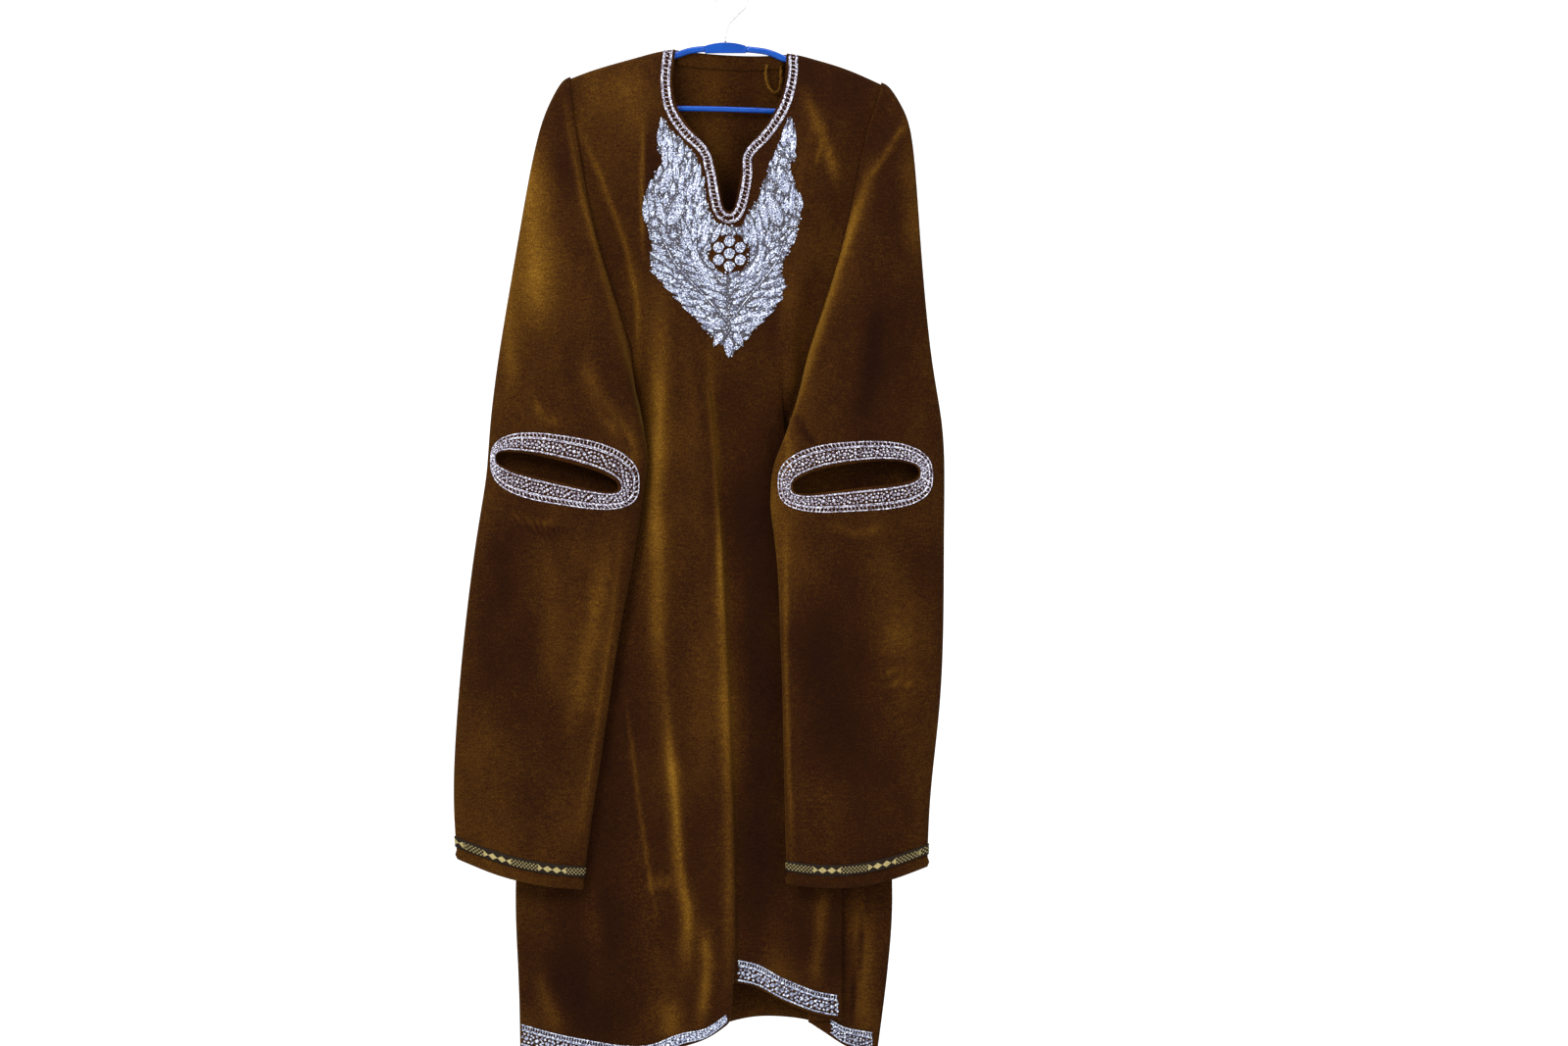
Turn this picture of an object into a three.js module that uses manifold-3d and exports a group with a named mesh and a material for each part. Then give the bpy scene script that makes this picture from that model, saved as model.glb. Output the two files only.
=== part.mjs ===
// Pheran: a long, loose velvet robe with silver tilla embroidery, hanging on a tube hanger.
// Millimetres, +Z up. X runs to the right as seen from the front, and the front faces -Y.
// The origin is the inner top of the hook, where the rail bears.

import * as THREE from 'three';
import { mergeVertices } from 'three/addons/utils/BufferGeometryUtils.js';
import Module from 'manifold-3d';

const wasm = await Module();
wasm.setup();

// ---------- driving dimensions ----------

const CLOTH = 1.6;            // velvet wall
const SEAM_GAP = 0.7;         // between two sewn pieces
const LAY_GAP = 0.7;          // under anything that lies on a panel
const PLEAT_GAP = 5;          // from one layer of a pleat to the next, middle to middle

const ARM_RADIUS = 4.3;       // hanger tube
const BAR_RADIUS = 3.5;
const WIRE_RADIUS = 1.75;     // hook
const HOOK_INNER_RADIUS = 18;
const SHOULDER_RADIUS = ARM_RADIUS + 0.9 + CLOTH / 2;

const CORD_HEIGHT = 1.2;      // tilla work over the velvet
const BRAID_WIDTH = 10.5;
const BRAID_INSET = 2.5;      // plain velvet between the neck edge and the braid
const LEAF_TIPS = 36;         // leaf tips round the breast embroidery
const LEAF_REACH = 5;
const HEM_BORDER = 26;
const HEM_LAY_GAP = 0.9;      // the border bridges the hem's waves
const HEM_EDGE = 3;           // plain velvet under the border
const SLIT_EDGE = 3;          // plain velvet round a hand slit
const RIBBON_THICK = 0.8;

// ---------- tables and small maths ----------

const lerp = (a, b, t) => a + (b - a) * t;
const clamp01 = (t) => Math.min(1, Math.max(0, t));
const smooth = (t) => clamp01(t) ** 2 * (3 - 2 * clamp01(t));

// The whole numbers from one to another, and evenly spaced shares from 0 to 1.
const columnsFrom = (from, to) => Array.from({ length: to - from + 1 }, (unused, n) => from + n);
const spread = (count) => columnsFrom(0, count - 1).map((n) => n / (count - 1));

// A table with named columns, one row for each section, fold or corner.
function table(columns, rows) {
  const names = columns.split(' ');
  return rows.map((row) => Object.fromEntries(names.map((name, i) => [name, row[i]])));
}

// Reads a column where the key column has the value `at`, along a smooth curve through the rows.
// The curve never passes beyond two rows that are alike, nor turns back before a row.
function read(rows, key, column, at) {
  const last = rows.length - 1;
  const way = Math.sign(rows[last][key] - rows[0][key]);
  let i = 0;
  while (i < last - 1 && way * (at - rows[i + 1][key]) > 0) i++;
  const [a, b] = [rows[i], rows[i + 1]];
  const [span, step] = [b[key] - a[key], b[column] - a[column]];
  const t = clamp01((at - a[key]) / span);
  // Slope at a row, from the rows on both sides of it. beside is the change on its other side.
  const slopeAt = (from, to, beside) => {
    const free = (span * (to[column] - from[column])) / (to[key] - from[key]);
    return beside * step > 0 ? Math.sign(step) * Math.min(Math.abs(free), 3 * Math.abs(step)) : 0;
  };
  const [before, after] = [rows[i - 1], rows[i + 2]];
  const leave = before ? slopeAt(before, b, a[column] - before[column]) : step;
  const arrive = after ? slopeAt(a, after, after[column] - b[column]) : step;
  const bend = leave + arrive - 2 * step;
  return a[column] + t * leave + t ** 2 * (step - leave - bend) + t ** 3 * bend;
}

// A smooth curve through the x and z of a table, read by its share of the length.
function curveOf(rows) {
  const points = rows.map(({ x, z }) => new THREE.Vector3(x, 0, z));
  const curve = new THREE.CatmullRomCurve3(points, false, 'centripetal');
  curve.arcLengthDivisions = 400;
  return (t) => curve.getPointAt(clamp01(t));
}

// ---------- cut of the robe, laid out as it hangs ----------

// Shoulder ridge, from the viewer's left to right.
const shoulder = table('x z', [
  [-202, -118], [-172, -106], [-120, -91], [-68, -79], [67, -84], [110, -94], [146, -106], [188, -125],
]);

// Armhole seam down to the underarm, then side seam down to the hem.
// front and back are the panels' depths there. floor is the width of the valley beside the sleeve,
// and rise is the width over which the panel comes up to its full depth.
const leftSide = table('z x front back floor rise', [
  [-117, -197, -0.4, 0.4, 2, 10],
  [-124, -197, -6, 5.5, 2, 10],
  [-140, -196, -8, 7, 4, 10],
  [-176, -190, -10, 8, 14, 10],
  [-236, -181, -12, 8, 25, 10],
  [-304, -167, -13, 8, 34, 10],
  [-368, -147, -13, 8, 30, 10],
  [-432, -127, -13, 8, 10, 12],
  [-484, -113, -9, 6, 0, 20],
  [-530, -104, -1, 1, 0, 34],
  [-560, -128, -1, 1, 0, 60],
  [-600, -152, -1, 1, 0, 90],
  [-700, -190, -1, 1, 0, 110],
  [-900, -238, -1, 1, 0, 100],
  [-1087, -262, -1, 1, 0, 60],
  [-1138, -260, -1, 1, 0, 40],
  [-1200, -256, -1, 1, 0, 40],
  [-1310, -254, -1, 1, 0, 40],
]);
const rightSide = table('z x front back floor rise', [
  [-123, 184, -0.4, 0.4, 2, 10],
  [-130, 184, -6, 5.5, 2, 10],
  [-146, 179, -8, 7, 4, 10],
  [-176, 166, -10, 8, 8, 10],
  [-236, 156, -12, 8, 16, 10],
  [-304, 141, -13, 8, 24, 10],
  [-372, 122, -13, 8, 22, 10],
  [-432, 99, -12, 8, 14, 12],
  [-500, 77, -7, 6, 0, 20],
  [-540, 66, -1, 1, 0, 34],
  [-575, 84, -1, 1, 0, 55],
  [-610, 112, -1, 1, 0, 80],
  [-700, 138, -1, 1, 0, 90],
  [-900, 172, -1, 1, 0, 80],
  [-1093, 197, -1, 1, 0, 50],
  [-1138, 195, -1, 1, 0, 30],
  [-1189, 189, -1, 1, 0, 30],
  [-1252, 181, -1, 1, 0, 30],
  [-1310, 173, -1, 1, 0, 30],
]);

// Front neck edge: round neck, then a long slit.
const neckEdge = table('x z', [
  [-68, -79], [-71, -105], [-71, -128], [-66, -151], [-51, -174], [-27, -198], [-18, -224], [-12, -258],
  [-8, -272], [-2, -277], [3, -272], [8, -255], [12, -232], [14, -204], [38, -177], [57, -147], [66, -115],
  [67, -84],
]);
const NECK_SLIT_FROM = 0.46;  // share of the neck edge where the bottom of the slit starts and ends
const NECK_SLIT_TO = 0.54;

// Back neck edge.
const backNeck = table('x z', [[-68, -79], [-40, -83], [0, -86], [40, -87], [67, -84]]);

// Depth of the front over the shoulder ridge, by the distance below it. It first rounds the hanger.
const drop = table('d depth', [
  [SHOULDER_RADIUS, SHOULDER_RADIUS], [15, 7.5], [40, 12], [90, 17], [180, 21], [500, 24], [1300, 25],
]);
const BACK_SHARE = 0.66;      // the back stands off less than the front
const NECK_STAND = 3;         // and a little more behind the open neck, clear of the hanger

// Two pleats, each with the left layer over the right one.
// x is the visible fold, under is how far the cloth goes back beneath it, and open is 0 where it
// has died out and 1 where it is full.
const middlePleat = table('z x under open', [
  [-270, -2, 10, 0], [-368, -16, 12, 0], [-412, -30, 14, 0], [-459, -26, 16, 0.25], [-516, -22, 20, 0.7],
  [-575, -19, 24, 1], [-678, -11, 28, 1], [-778, -6, 30, 1], [-900, -1, 30, 1], [-1057, 4, 30, 1],
  [-1138, 5, 30, 1], [-1197, 4, 30, 1], [-1251, -2, 30, 1],
]);
const sidePleat = table('z x under open', [
  [-270, 78, 12, 0], [-500, 50, 12, 0], [-640, 62, 12, 0], [-760, 88, 16, 0.3], [-880, 112, 24, 0.8],
  [-980, 130, 34, 1], [-1080, 133, 40, 1], [-1251, 133, 40, 1],
]);

// Hem of each panel, and the top line of the border sewn along it.
const leftHem = table('x z border', [
  [-255, -1283, -1253], [-214, -1293, -1263], [-170, -1302, -1272], [-126, -1308, -1278],
  [-94, -1300, -1278], [-63, -1282, -1268], [-31, -1273, -1261], [-2, -1253, -1243],
]);
const middleHem = table('x z border', [
  [-30, -1205, -1178], [4, -1205, -1179], [33, -1212, -1187], [61, -1227, -1198], [101, -1243, -1211],
  [133, -1248, -1219],
]);
const rightHem = table('x z border', [
  [93, -1253, -1243], [108, -1261, -1246], [137, -1281, -1254], [174, -1293, -1263],
]);
const backHem = table('x z', [
  [-255, -1281], [-160, -1290], [-80, -1280], [0, -1252], [30, -1247], [80, -1250], [120, -1262],
  [174, -1288],
]);

// Soft folds that run down a panel. lift is towards the front, wide is the half width.
const fold = (lift, wide, path) => ({ lift, wide, path: table('z x', path) });
const frontFolds = [
  fold(4, 11, [[-105, -94], [-176, -109], [-296, -109], [-375, -110], [-415, -116]]),
  fold(5, 12, [[-400, -84], [-496, -84], [-678, -84], [-818, -84], [-938, -74], [-1066, -63]]),
  fold(5, 10, [[-412, -52], [-575, -30], [-778, -17], [-977, -10], [-1138, -6], [-1241, -14]]),
  fold(4, 8, [[-1050, -86], [-1097, -58], [-1138, -52], [-1200, -54], [-1268, -56]]),
  fold(4, 7, [[-1120, -30], [-1176, -26], [-1217, -28], [-1260, -32]]),
  fold(3, 8, [[-1000, -176], [-1120, -170], [-1200, -200], [-1270, -205]]),
  fold(3, 9, [[-110, 84], [-144, 98], [-192, 113], [-252, 136]]),
  fold(2.5, 5, [[-100, 84], [-200, 87], [-372, 86], [-420, 80]]),
  fold(3, 7, [[-368, 62], [-432, 72], [-484, 78], [-520, 70]]),
  fold(4, 8, [[-980, 104], [-1093, 115], [-1138, 110], [-1205, 103]]),
  fold(-3, 6, [[-1040, 168], [-1093, 165], [-1150, 158], [-1213, 146], [-1262, 140]]),
];
const backFolds = [
  fold(-3, 8, [[-98, -44], [-160, -46], [-300, -60], [-600, -80], [-900, -120], [-1280, -150]]),
  fold(-3, 7, [[-100, -12], [-180, -12], [-400, -14], [-800, -30], [-1255, -60]]),
  fold(-4, 9, [[-98, 21], [-200, 24], [-500, 30], [-900, 40], [-1250, 50]]),
  fold(-3, 9, [[-300, 70], [-600, 60], [-900, 95], [-1270, 130]]),
  fold(-3, 9, [[-700, -120], [-900, -160], [-1280, -215]]),
];

// ---------- depth of the panels ----------

// Sum of the soft folds at a place. Each fades out at both ends of its path.
function foldLift(folds, x, z) {
  let lift = 0;
  for (const { lift: height, wide, path } of folds) {
    const [from, to] = [path[0].z, path[path.length - 1].z];
    const fade = smooth((from - z) / 40) * smooth((z - to) / 25 + 0.6);
    const off = (x - read(path, 'z', 'x', z)) / wide;
    lift += fade * height * Math.exp(-off * off);
  }
  return lift;
}

// Depth below the shoulder ridge: a quarter turn round the hanger, then the drop table.
function dropDepth(below) {
  if (below < SHOULDER_RADIUS) {
    return Math.sqrt(SHOULDER_RADIUS ** 2 - (SHOULDER_RADIUS - Math.max(below, 0)) ** 2) + SEAM_GAP / 2;
  }
  return read(drop, 'd', 'depth', below) + SEAM_GAP / 2;
}

// Share of the full depth that a panel has reached at x, between its two side edges.
function reach(x, z) {
  const fromLeft = x - read(leftSide, 'z', 'x', z) - read(leftSide, 'z', 'floor', z);
  const fromRight = read(rightSide, 'z', 'x', z) - x - read(rightSide, 'z', 'floor', z);
  return {
    left: smooth(fromLeft / read(leftSide, 'z', 'rise', z)),
    right: smooth(fromRight / read(rightSide, 'z', 'rise', z)),
  };
}

function panelDepth(x, z, side, full) {
  const share = reach(x, z);
  const fromLeft = lerp(read(leftSide, 'z', side, z), full, share.left);
  const fromRight = lerp(read(rightSide, 'z', side, z), full, share.right);
  return share.left < share.right ? fromLeft : fromRight;
}

const ridge = (x) => read(shoulder, 'x', 'z', x) - CLOTH / 2;

function frontDepth(x, z) {
  return panelDepth(x, z, 'front', -dropDepth(ridge(x) - z) - foldLift(frontFolds, x, z));
}

function backDepth(x, z) {
  const insideNeck = smooth((74 - Math.abs(x)) / 10);
  const below = ridge(x) - z + insideNeck * 8;
  const round = dropDepth(below);
  const depth = below < SHOULDER_RADIUS ? round : Math.max(SHOULDER_RADIUS, round * BACK_SHARE);
  return panelDepth(x, z, 'back', depth + NECK_STAND * insideNeck - foldLift(backFolds, x, z));
}

// ---------- solids from grids of points ----------

function finish(points, faces, flip) {
  const positions = points.flatMap((p) => [p.x, p.y, p.z]);
  const geometry = new THREE.BufferGeometry();
  geometry.setAttribute('position', new THREE.Float32BufferAttribute(positions, 3));
  geometry.setIndex(faces.flatMap(([a, b, c]) => (flip ? [a, c, b] : [a, b, c])));
  return geometry;
}

// A closed solid between two grids of points, rows down and columns across. With ring it closes
// on itself from the last column to the first.
function between(outside, inside, ring) {
  const [rows, columns] = [outside.length, outside[0].length];
  const points = [...outside.flat(), ...inside.flat()];
  const out = (i, j) => i * columns + (j % columns);
  const inn = (i, j) => rows * columns + out(i, j);
  const faces = [];
  const quad = (a, b, c, d) => faces.push([a, b, c], [a, c, d]);
  const across = ring ? columns : columns - 1;
  for (let j = 0; j < across; j++) {
    for (let i = 0; i < rows - 1; i++) {
      quad(out(i, j), out(i + 1, j), out(i + 1, j + 1), out(i, j + 1));
      quad(inn(i, j), inn(i, j + 1), inn(i + 1, j + 1), inn(i + 1, j));
    }
    quad(out(0, j), out(0, j + 1), inn(0, j + 1), inn(0, j));
    quad(out(rows - 1, j), inn(rows - 1, j), inn(rows - 1, j + 1), out(rows - 1, j + 1));
  }
  if (!ring) {
    const right = columns - 1;
    for (let i = 0; i < rows - 1; i++) {
      quad(out(i, 0), inn(i, 0), inn(i + 1, 0), out(i + 1, 0));
      quad(out(i, right), out(i + 1, right), inn(i + 1, right), inn(i, right));
    }
  }
  let volume = 0;
  for (const [a, b, c] of faces) {
    volume += points[a].dot(new THREE.Vector3().crossVectors(points[b], points[c]));
  }
  return finish(points, faces, volume < 0);
}

// Directions square to a grid of points, mean of the cells round each.
function normalsOf(grid, ring) {
  const [rows, columns] = [grid.length, grid[0].length];
  const normals = grid.map((row) => row.map(() => new THREE.Vector3()));
  for (let i = 0; i < rows - 1; i++) {
    for (let j = 0; j < (ring ? columns : columns - 1); j++) {
      const k = (j + 1) % columns;
      const down = grid[i + 1][k].clone().sub(grid[i][j]);
      const across = grid[i][k].clone().sub(grid[i + 1][j]);
      const cell = new THREE.Vector3().crossVectors(down, across);
      for (const [r, c] of [[i, j], [i, k], [i + 1, j], [i + 1, k]]) normals[r][c].add(cell);
    }
  }
  normals.flat().forEach((n) => n.normalize());
  return normals;
}

const shift = (grid, normals, by) =>
  grid.map((row, i) => row.map((p, j) => p.clone().addScaledVector(normals[i][j], by)));

// A cloth wall round a grid that gives its middle surface.
function wall(grid, ring = false) {
  const normals = normalsOf(grid, ring);
  const outside = shift(grid, normals, CLOTH / 2);
  return { outside, normals, ring, geometry: between(outside, shift(grid, normals, -CLOTH / 2), ring) };
}

// The outer face of a wall, seen along Y. view is -1 from the front and 1 from the back.
// Gives the point of the face at x, z, moved out by lift.
function faceOf({ outside, normals, ring }, view) {
  const triangles = [];
  const columns = outside[0].length;
  for (let i = 0; i < outside.length - 1; i++) {
    for (let j = 0; j < (ring ? columns : columns - 1); j++) {
      const k = (j + 1) % columns;
      triangles.push([[i, j], [i + 1, j], [i + 1, k]], [[i, j], [i + 1, k], [i, k]]);
    }
  }
  return (x, z, lift) => {
    let found = null;
    for (const corners of triangles) {
      const [a, b, c] = corners.map(([i, j]) => outside[i][j]);
      const area = (b.x - a.x) * (c.z - a.z) - (c.x - a.x) * (b.z - a.z);
      if (Math.abs(area) < 1e-6) continue;
      const v = ((x - a.x) * (c.z - a.z) - (c.x - a.x) * (z - a.z)) / area;
      const w = ((b.x - a.x) * (z - a.z) - (x - a.x) * (b.z - a.z)) / area;
      if (v < -1e-4 || w < -1e-4 || v + w > 1.0001) continue;
      const y = a.y + v * (b.y - a.y) + w * (c.y - a.y);
      if (!found || y * view > found.y * view) found = { y, corners, share: [1 - v - w, v, w] };
    }
    if (!found) throw new Error(`no cloth at ${x.toFixed(1)}, ${z.toFixed(1)}`);
    const normal = new THREE.Vector3();
    found.corners.forEach(([i, j], n) => normal.addScaledVector(normals[i][j], found.share[n]));
    return new THREE.Vector3(x, found.y, z).addScaledVector(normal.normalize(), lift);
  };
}

// Something flat that lies on a face: places is a grid of { x, z, height }.
function layOn(face, places, ring = false) {
  const lay = (lift) => places.map((row) => row.map((p) => face(p.x, p.z, LAY_GAP + lift(p))));
  return between(lay((p) => p.height), lay(() => 0), ring);
}

// ---------- front ----------

const LEFT_COLUMNS = 15;
const TURN_COLUMNS = 7;
const MIDDLE_COLUMNS = 9;
const STRIP_COLUMNS = 5;
const FRONT_ROWS = [
  0, 0.0008, 0.0025, 0.006, 0.015, 0.03, 0.06, 0.1, 0.14, 0.18, 0.22, 0.265, 0.31, 0.354, 0.4, 0.46,
  0.53, 0.61, 0.69, 0.77, 0.85, 0.92, 0.965, 1,
];
const FLAT_HALF = 9;          // half of the width that a pleat's columns take where it has died out
const NECK_BLEND = 120;       // length over which the columns leave the neck edge

// Columns of the front from left to right: panel, pleat, panel, pleat, panel.
const frontColumns = [];
const addColumns = (kind, count) => {
  for (let n = 0; n < count; n++) frontColumns.push({ kind, n, share: n / (count - 1) });
};
addColumns('left', LEFT_COLUMNS);
addColumns('middlePleat', TURN_COLUMNS);
addColumns('middle', MIDDLE_COLUMNS);
addColumns('sidePleat', TURN_COLUMNS);
addColumns('right', STRIP_COLUMNS);

// A pleat seen end on: the middle surface turns back at the fold, runs under it and turns again.
// Gives x from the fold and depth behind the upper layer for the nth of its columns.
function pleatShape(n, under) {
  const radius = PLEAT_GAP / 2;
  if (n === 3) return { x: -under / 2, y: PLEAT_GAP };
  const upper = n < 3;
  const angle = ((upper ? n - 1 : n - 5) * Math.PI) / 3;
  const turn = upper ? -radius + radius * Math.cos(angle) : radius - under - radius * Math.cos(angle);
  return { x: turn, y: (upper ? radius : 3 * radius) + radius * Math.sin(angle) };
}

const pleats = { middlePleat, sidePleat };

// Where a pleat's columns lie at height z, and how far the layer after it is set back.
function pleatAt(name, z) {
  const rows = pleats[name];
  const open = clamp01(read(rows, 'z', 'open', z));
  const fold = read(rows, 'z', 'x', z);
  const under = read(rows, 'z', 'under', z);
  const clear = lerp(FLAT_HALF, PLEAT_GAP, open);
  const [before, after] = [fold - clear, fold - open * under + clear];
  return { open, fold, under, before, after, back: 2 * PLEAT_GAP * open };
}

// x and set-back of a column of the front at height z.
function frontPlace(column, z) {
  const first = pleatAt('middlePleat', z);
  const second = pleatAt('sidePleat', z);
  const { kind, n, share } = column;
  if (kind === 'left') return { x: lerp(read(leftSide, 'z', 'x', z), first.before, share), back: 0 };
  if (kind === 'middle') return { x: lerp(first.after, second.before, share), back: first.back };
  if (kind === 'right') {
    return { x: lerp(second.after, read(rightSide, 'z', 'x', z), share), back: first.back + second.back };
  }
  const pleat = kind === 'middlePleat' ? first : second;
  const start = kind === 'middlePleat' ? 0 : first.back;
  const shape = pleatShape(n, pleat.under);
  const flat = lerp(-FLAT_HALF, FLAT_HALF, (n + 1) / (TURN_COLUMNS + 1));
  return { x: pleat.fold + lerp(flat, shape.x, pleat.open), back: start + shape.y * pleat.open };
}

// The top end of each column: along the left shoulder, the neck edge and the right shoulder.
const neckPoint = curveOf(neckEdge);
const NECK_LEFT_COLUMN = 6;
const NECK_RIGHT_COLUMN = LEFT_COLUMNS + TURN_COLUMNS + MIDDLE_COLUMNS - 1;

function frontTop(index) {
  const slitFrom = LEFT_COLUMNS;
  const slitTo = LEFT_COLUMNS + TURN_COLUMNS - 1;
  const last = frontColumns.length - 1;
  if (index < NECK_LEFT_COLUMN) {
    const x = lerp(leftSide[0].x, neckEdge[0].x, index / NECK_LEFT_COLUMN);
    return { x, z: ridge(x) };
  }
  if (index > NECK_RIGHT_COLUMN) {
    const end = neckEdge[neckEdge.length - 1];
    const x = lerp(end.x, rightSide[0].x, (index - NECK_RIGHT_COLUMN) / (last - NECK_RIGHT_COLUMN));
    return { x, z: ridge(x) };
  }
  // The columns stand closer together towards the shoulder, where the edge turns over the hanger.
  const crowd = (from, to) => ((index - from) / (to - from)) ** 1.5;
  let share = lerp(NECK_SLIT_FROM, NECK_SLIT_TO, (index - slitFrom) / (slitTo - slitFrom));
  if (index < slitFrom) share = NECK_SLIT_FROM * crowd(NECK_LEFT_COLUMN, slitFrom);
  if (index > slitTo) share = 1 - (1 - NECK_SLIT_TO) * crowd(NECK_RIGHT_COLUMN, slitTo);
  const { x, z } = neckPoint(share);
  return { x, z: Math.min(z, ridge(x)) };
}

const hems = { left: leftHem, middle: middleHem, right: rightHem };
const HEM_LEVEL = -1250;

function frontHem(column) {
  const { x } = frontPlace(column, HEM_LEVEL);
  if (hems[column.kind]) return read(hems[column.kind], 'x', 'z', x);
  const [upper, lower] = column.kind === 'middlePleat' ? [leftHem, middleHem] : [middleHem, rightHem];
  const turn = column.n / (TURN_COLUMNS - 1);
  return lerp(upper[upper.length - 1].z, lower[0].z, smooth(turn));
}

function frontGrid() {
  const tops = frontColumns.map((column, index) => frontTop(index));
  const ends = frontColumns.map(frontHem);
  const last = frontColumns.length - 1;
  return FRONT_ROWS.map((share) => frontColumns.map((column, index) => {
    const top = tops[index];
    const z = lerp(top.z, ends[index], share);
    const place = frontPlace(column, z);
    const edge = index === 0 || index === last;
    const x = edge ? place.x : lerp(top.x, place.x, smooth((top.z - z) / NECK_BLEND));
    return new THREE.Vector3(x, frontDepth(x, z) + place.back * reach(x, z).right, z);
  }));
}

// ---------- back ----------

const BACK_COLUMNS = 21;
const BACK_NECK_FROM = 6;     // columns that end on the back neck
const BACK_NECK_TO = 14;
const BACK_ROWS = [
  0, 0.0008, 0.0025, 0.006, 0.015, 0.03, 0.06, 0.1, 0.15, 0.2, 0.26, 0.31, 0.355, 0.42, 0.52, 0.62, 0.72,
  0.82, 0.9, 0.965, 1,
];

function backTop(index) {
  if (index <= BACK_NECK_FROM) {
    const x = lerp(leftSide[0].x, backNeck[0].x, index / BACK_NECK_FROM);
    return { x, z: ridge(x) };
  }
  const end = backNeck[backNeck.length - 1].x;
  if (index >= BACK_NECK_TO) {
    const x = lerp(end, rightSide[0].x, (index - BACK_NECK_TO) / (BACK_COLUMNS - 1 - BACK_NECK_TO));
    return { x, z: ridge(x) };
  }
  const x = lerp(backNeck[0].x, end, (index - BACK_NECK_FROM) / (BACK_NECK_TO - BACK_NECK_FROM));
  return { x, z: read(backNeck, 'x', 'z', x) };
}

function backGrid() {
  const columns = columnsFrom(0, BACK_COLUMNS - 1).reverse();
  return BACK_ROWS.map((share) => columns.map((index) => {
    const top = backTop(index);
    const across = index / (BACK_COLUMNS - 1);
    const hemX = lerp(leftSide[leftSide.length - 1].x, rightSide[rightSide.length - 1].x, across);
    const z = lerp(top.z, read(backHem, 'x', 'z', hemX), share);
    const place = lerp(read(leftSide, 'z', 'x', z), read(rightSide, 'z', 'x', z), across);
    const edge = index === 0 || index === BACK_COLUMNS - 1;
    const x = edge ? place : lerp(top.x, place, smooth((top.z - z) / NECK_BLEND));
    return new THREE.Vector3(x, backDepth(x, z), z);
  }));
}

// ---------- sleeves ----------

// Rings of a sleeve from the armhole to the cuff, which fan out below the shoulder.
// outer and inner are its two edges as it hangs, with their depths outerY and innerY.
// front and back are the depths of its two walls half way across. sag rounds the ring downwards.
const SLEEVE_COLUMNS = 'outerX outerZ innerX innerZ outerY innerY front back sag';
const leftSleeve = table(SLEEVE_COLUMNS, [
  [-208, -123, -105, -543, -1, -20, -27, 14, 0],
  [-218, -142, -101, -562, -4, -28, -34, 11, 0],
  [-229, -168, -100, -580, -8, -31, -37, 5, 0],
  [-241, -220, -102, -598, -11, -33, -39, 1, 0],
  [-254, -296, -105, -618, -13, -34, -41, -2, 0],
  [-268, -378, -109, -645, -14, -35, -42, -5, 0],
  [-281, -455, -113, -672, -15, -36, -43, -8, 0],
  [-291, -536, -118, -705, -16, -37, -44, -11, 0],
  [-293, -590, -126, -745, -17, -37, -44, -13, 0],
  [-302, -640, -133, -782, -18, -38, -45, -15, 0],
  [-311, -700, -140, -828, -19, -38, -45, -17, 0],
  [-319, -765, -147, -875, -20, -38, -45, -19, 0],
  [-326, -835, -154, -925, -21, -39, -45, -21, 2],
  [-331, -900, -161, -970, -22, -39, -46, -22, 3],
  [-334, -960, -168, -1015, -23, -40, -46, -23, 5],
  [-333, -1010, -173, -1055, -24, -40, -46, -24, 7],
  [-329, -1055, -178, -1091, -24, -40, -46, -24, 8],
]);
const rightSleeve = table(SLEEVE_COLUMNS, [
  [196, -131, 65, -552, -1, -20, -27, 18, 0],
  [206, -148, 58, -566, -4, -28, -34, 14, 0],
  [216, -170, 52, -580, -8, -31, -37, 5, 0],
  [222, -222, 48, -596, -11, -33, -39, 1, 0],
  [227, -300, 46, -616, -13, -34, -41, -2, 0],
  [234, -390, 47, -642, -14, -35, -42, -5, 0],
  [243, -470, 51, -668, -15, -36, -43, -8, 0],
  [256, -535, 55, -705, -16, -37, -44, -11, 0],
  [257, -600, 57, -745, -17, -37, -44, -13, 0],
  [256, -660, 58, -785, -18, -38, -45, -15, 0],
  [256, -725, 60, -825, -19, -38, -45, -17, 0],
  [255, -800, 61, -868, -20, -38, -45, -19, 0],
  [252, -862, 62, -912, -21, -39, -45, -21, 3],
  [246, -918, 63, -955, -22, -39, -46, -22, 5],
  [240, -970, 64, -1000, -23, -40, -46, -23, 7],
  [237, -1018, 65, -1042, -24, -40, -46, -24, 10],
  [236, -1064, 67, -1084, -24, -40, -46, -24, 14],
]);
const SHOULDER_STEP = 0.045;  // one more point where the section turns over the shoulder
const WALL_POINTS = 10;       // points across one wall of a sleeve
const LAP_WIDTH = 3;          // the armhole edge of a sleeve laps over the panels
const LAP_RISE = CLOTH + 2.6; // and lies this far off them, middle to middle
const LAP_OUT = 7;            // at the shoulder it runs this far out before it falls
const LAP_FALL = 2.5;
const LAP_END = { from: 0.8, to: 0.92 };    // shares of the armhole where the lap runs out
const RISE_END = { from: 0.88, to: 0.985 }; // and where the sleeve comes down to the side seam
const UNDERARM_LIFT = 4;      // below it the sleeve turns round outside the side seam
const UNDERARM_OFFSET = 4;
const BACK_BULGE = 7;         // the back wall of a sleeve runs a little further out

// Rounded section: 0 at both edges and 1 across the middle.
const section = (f) => Math.sqrt(1 - Math.abs(2 * f - 1) ** 2.5);

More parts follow.
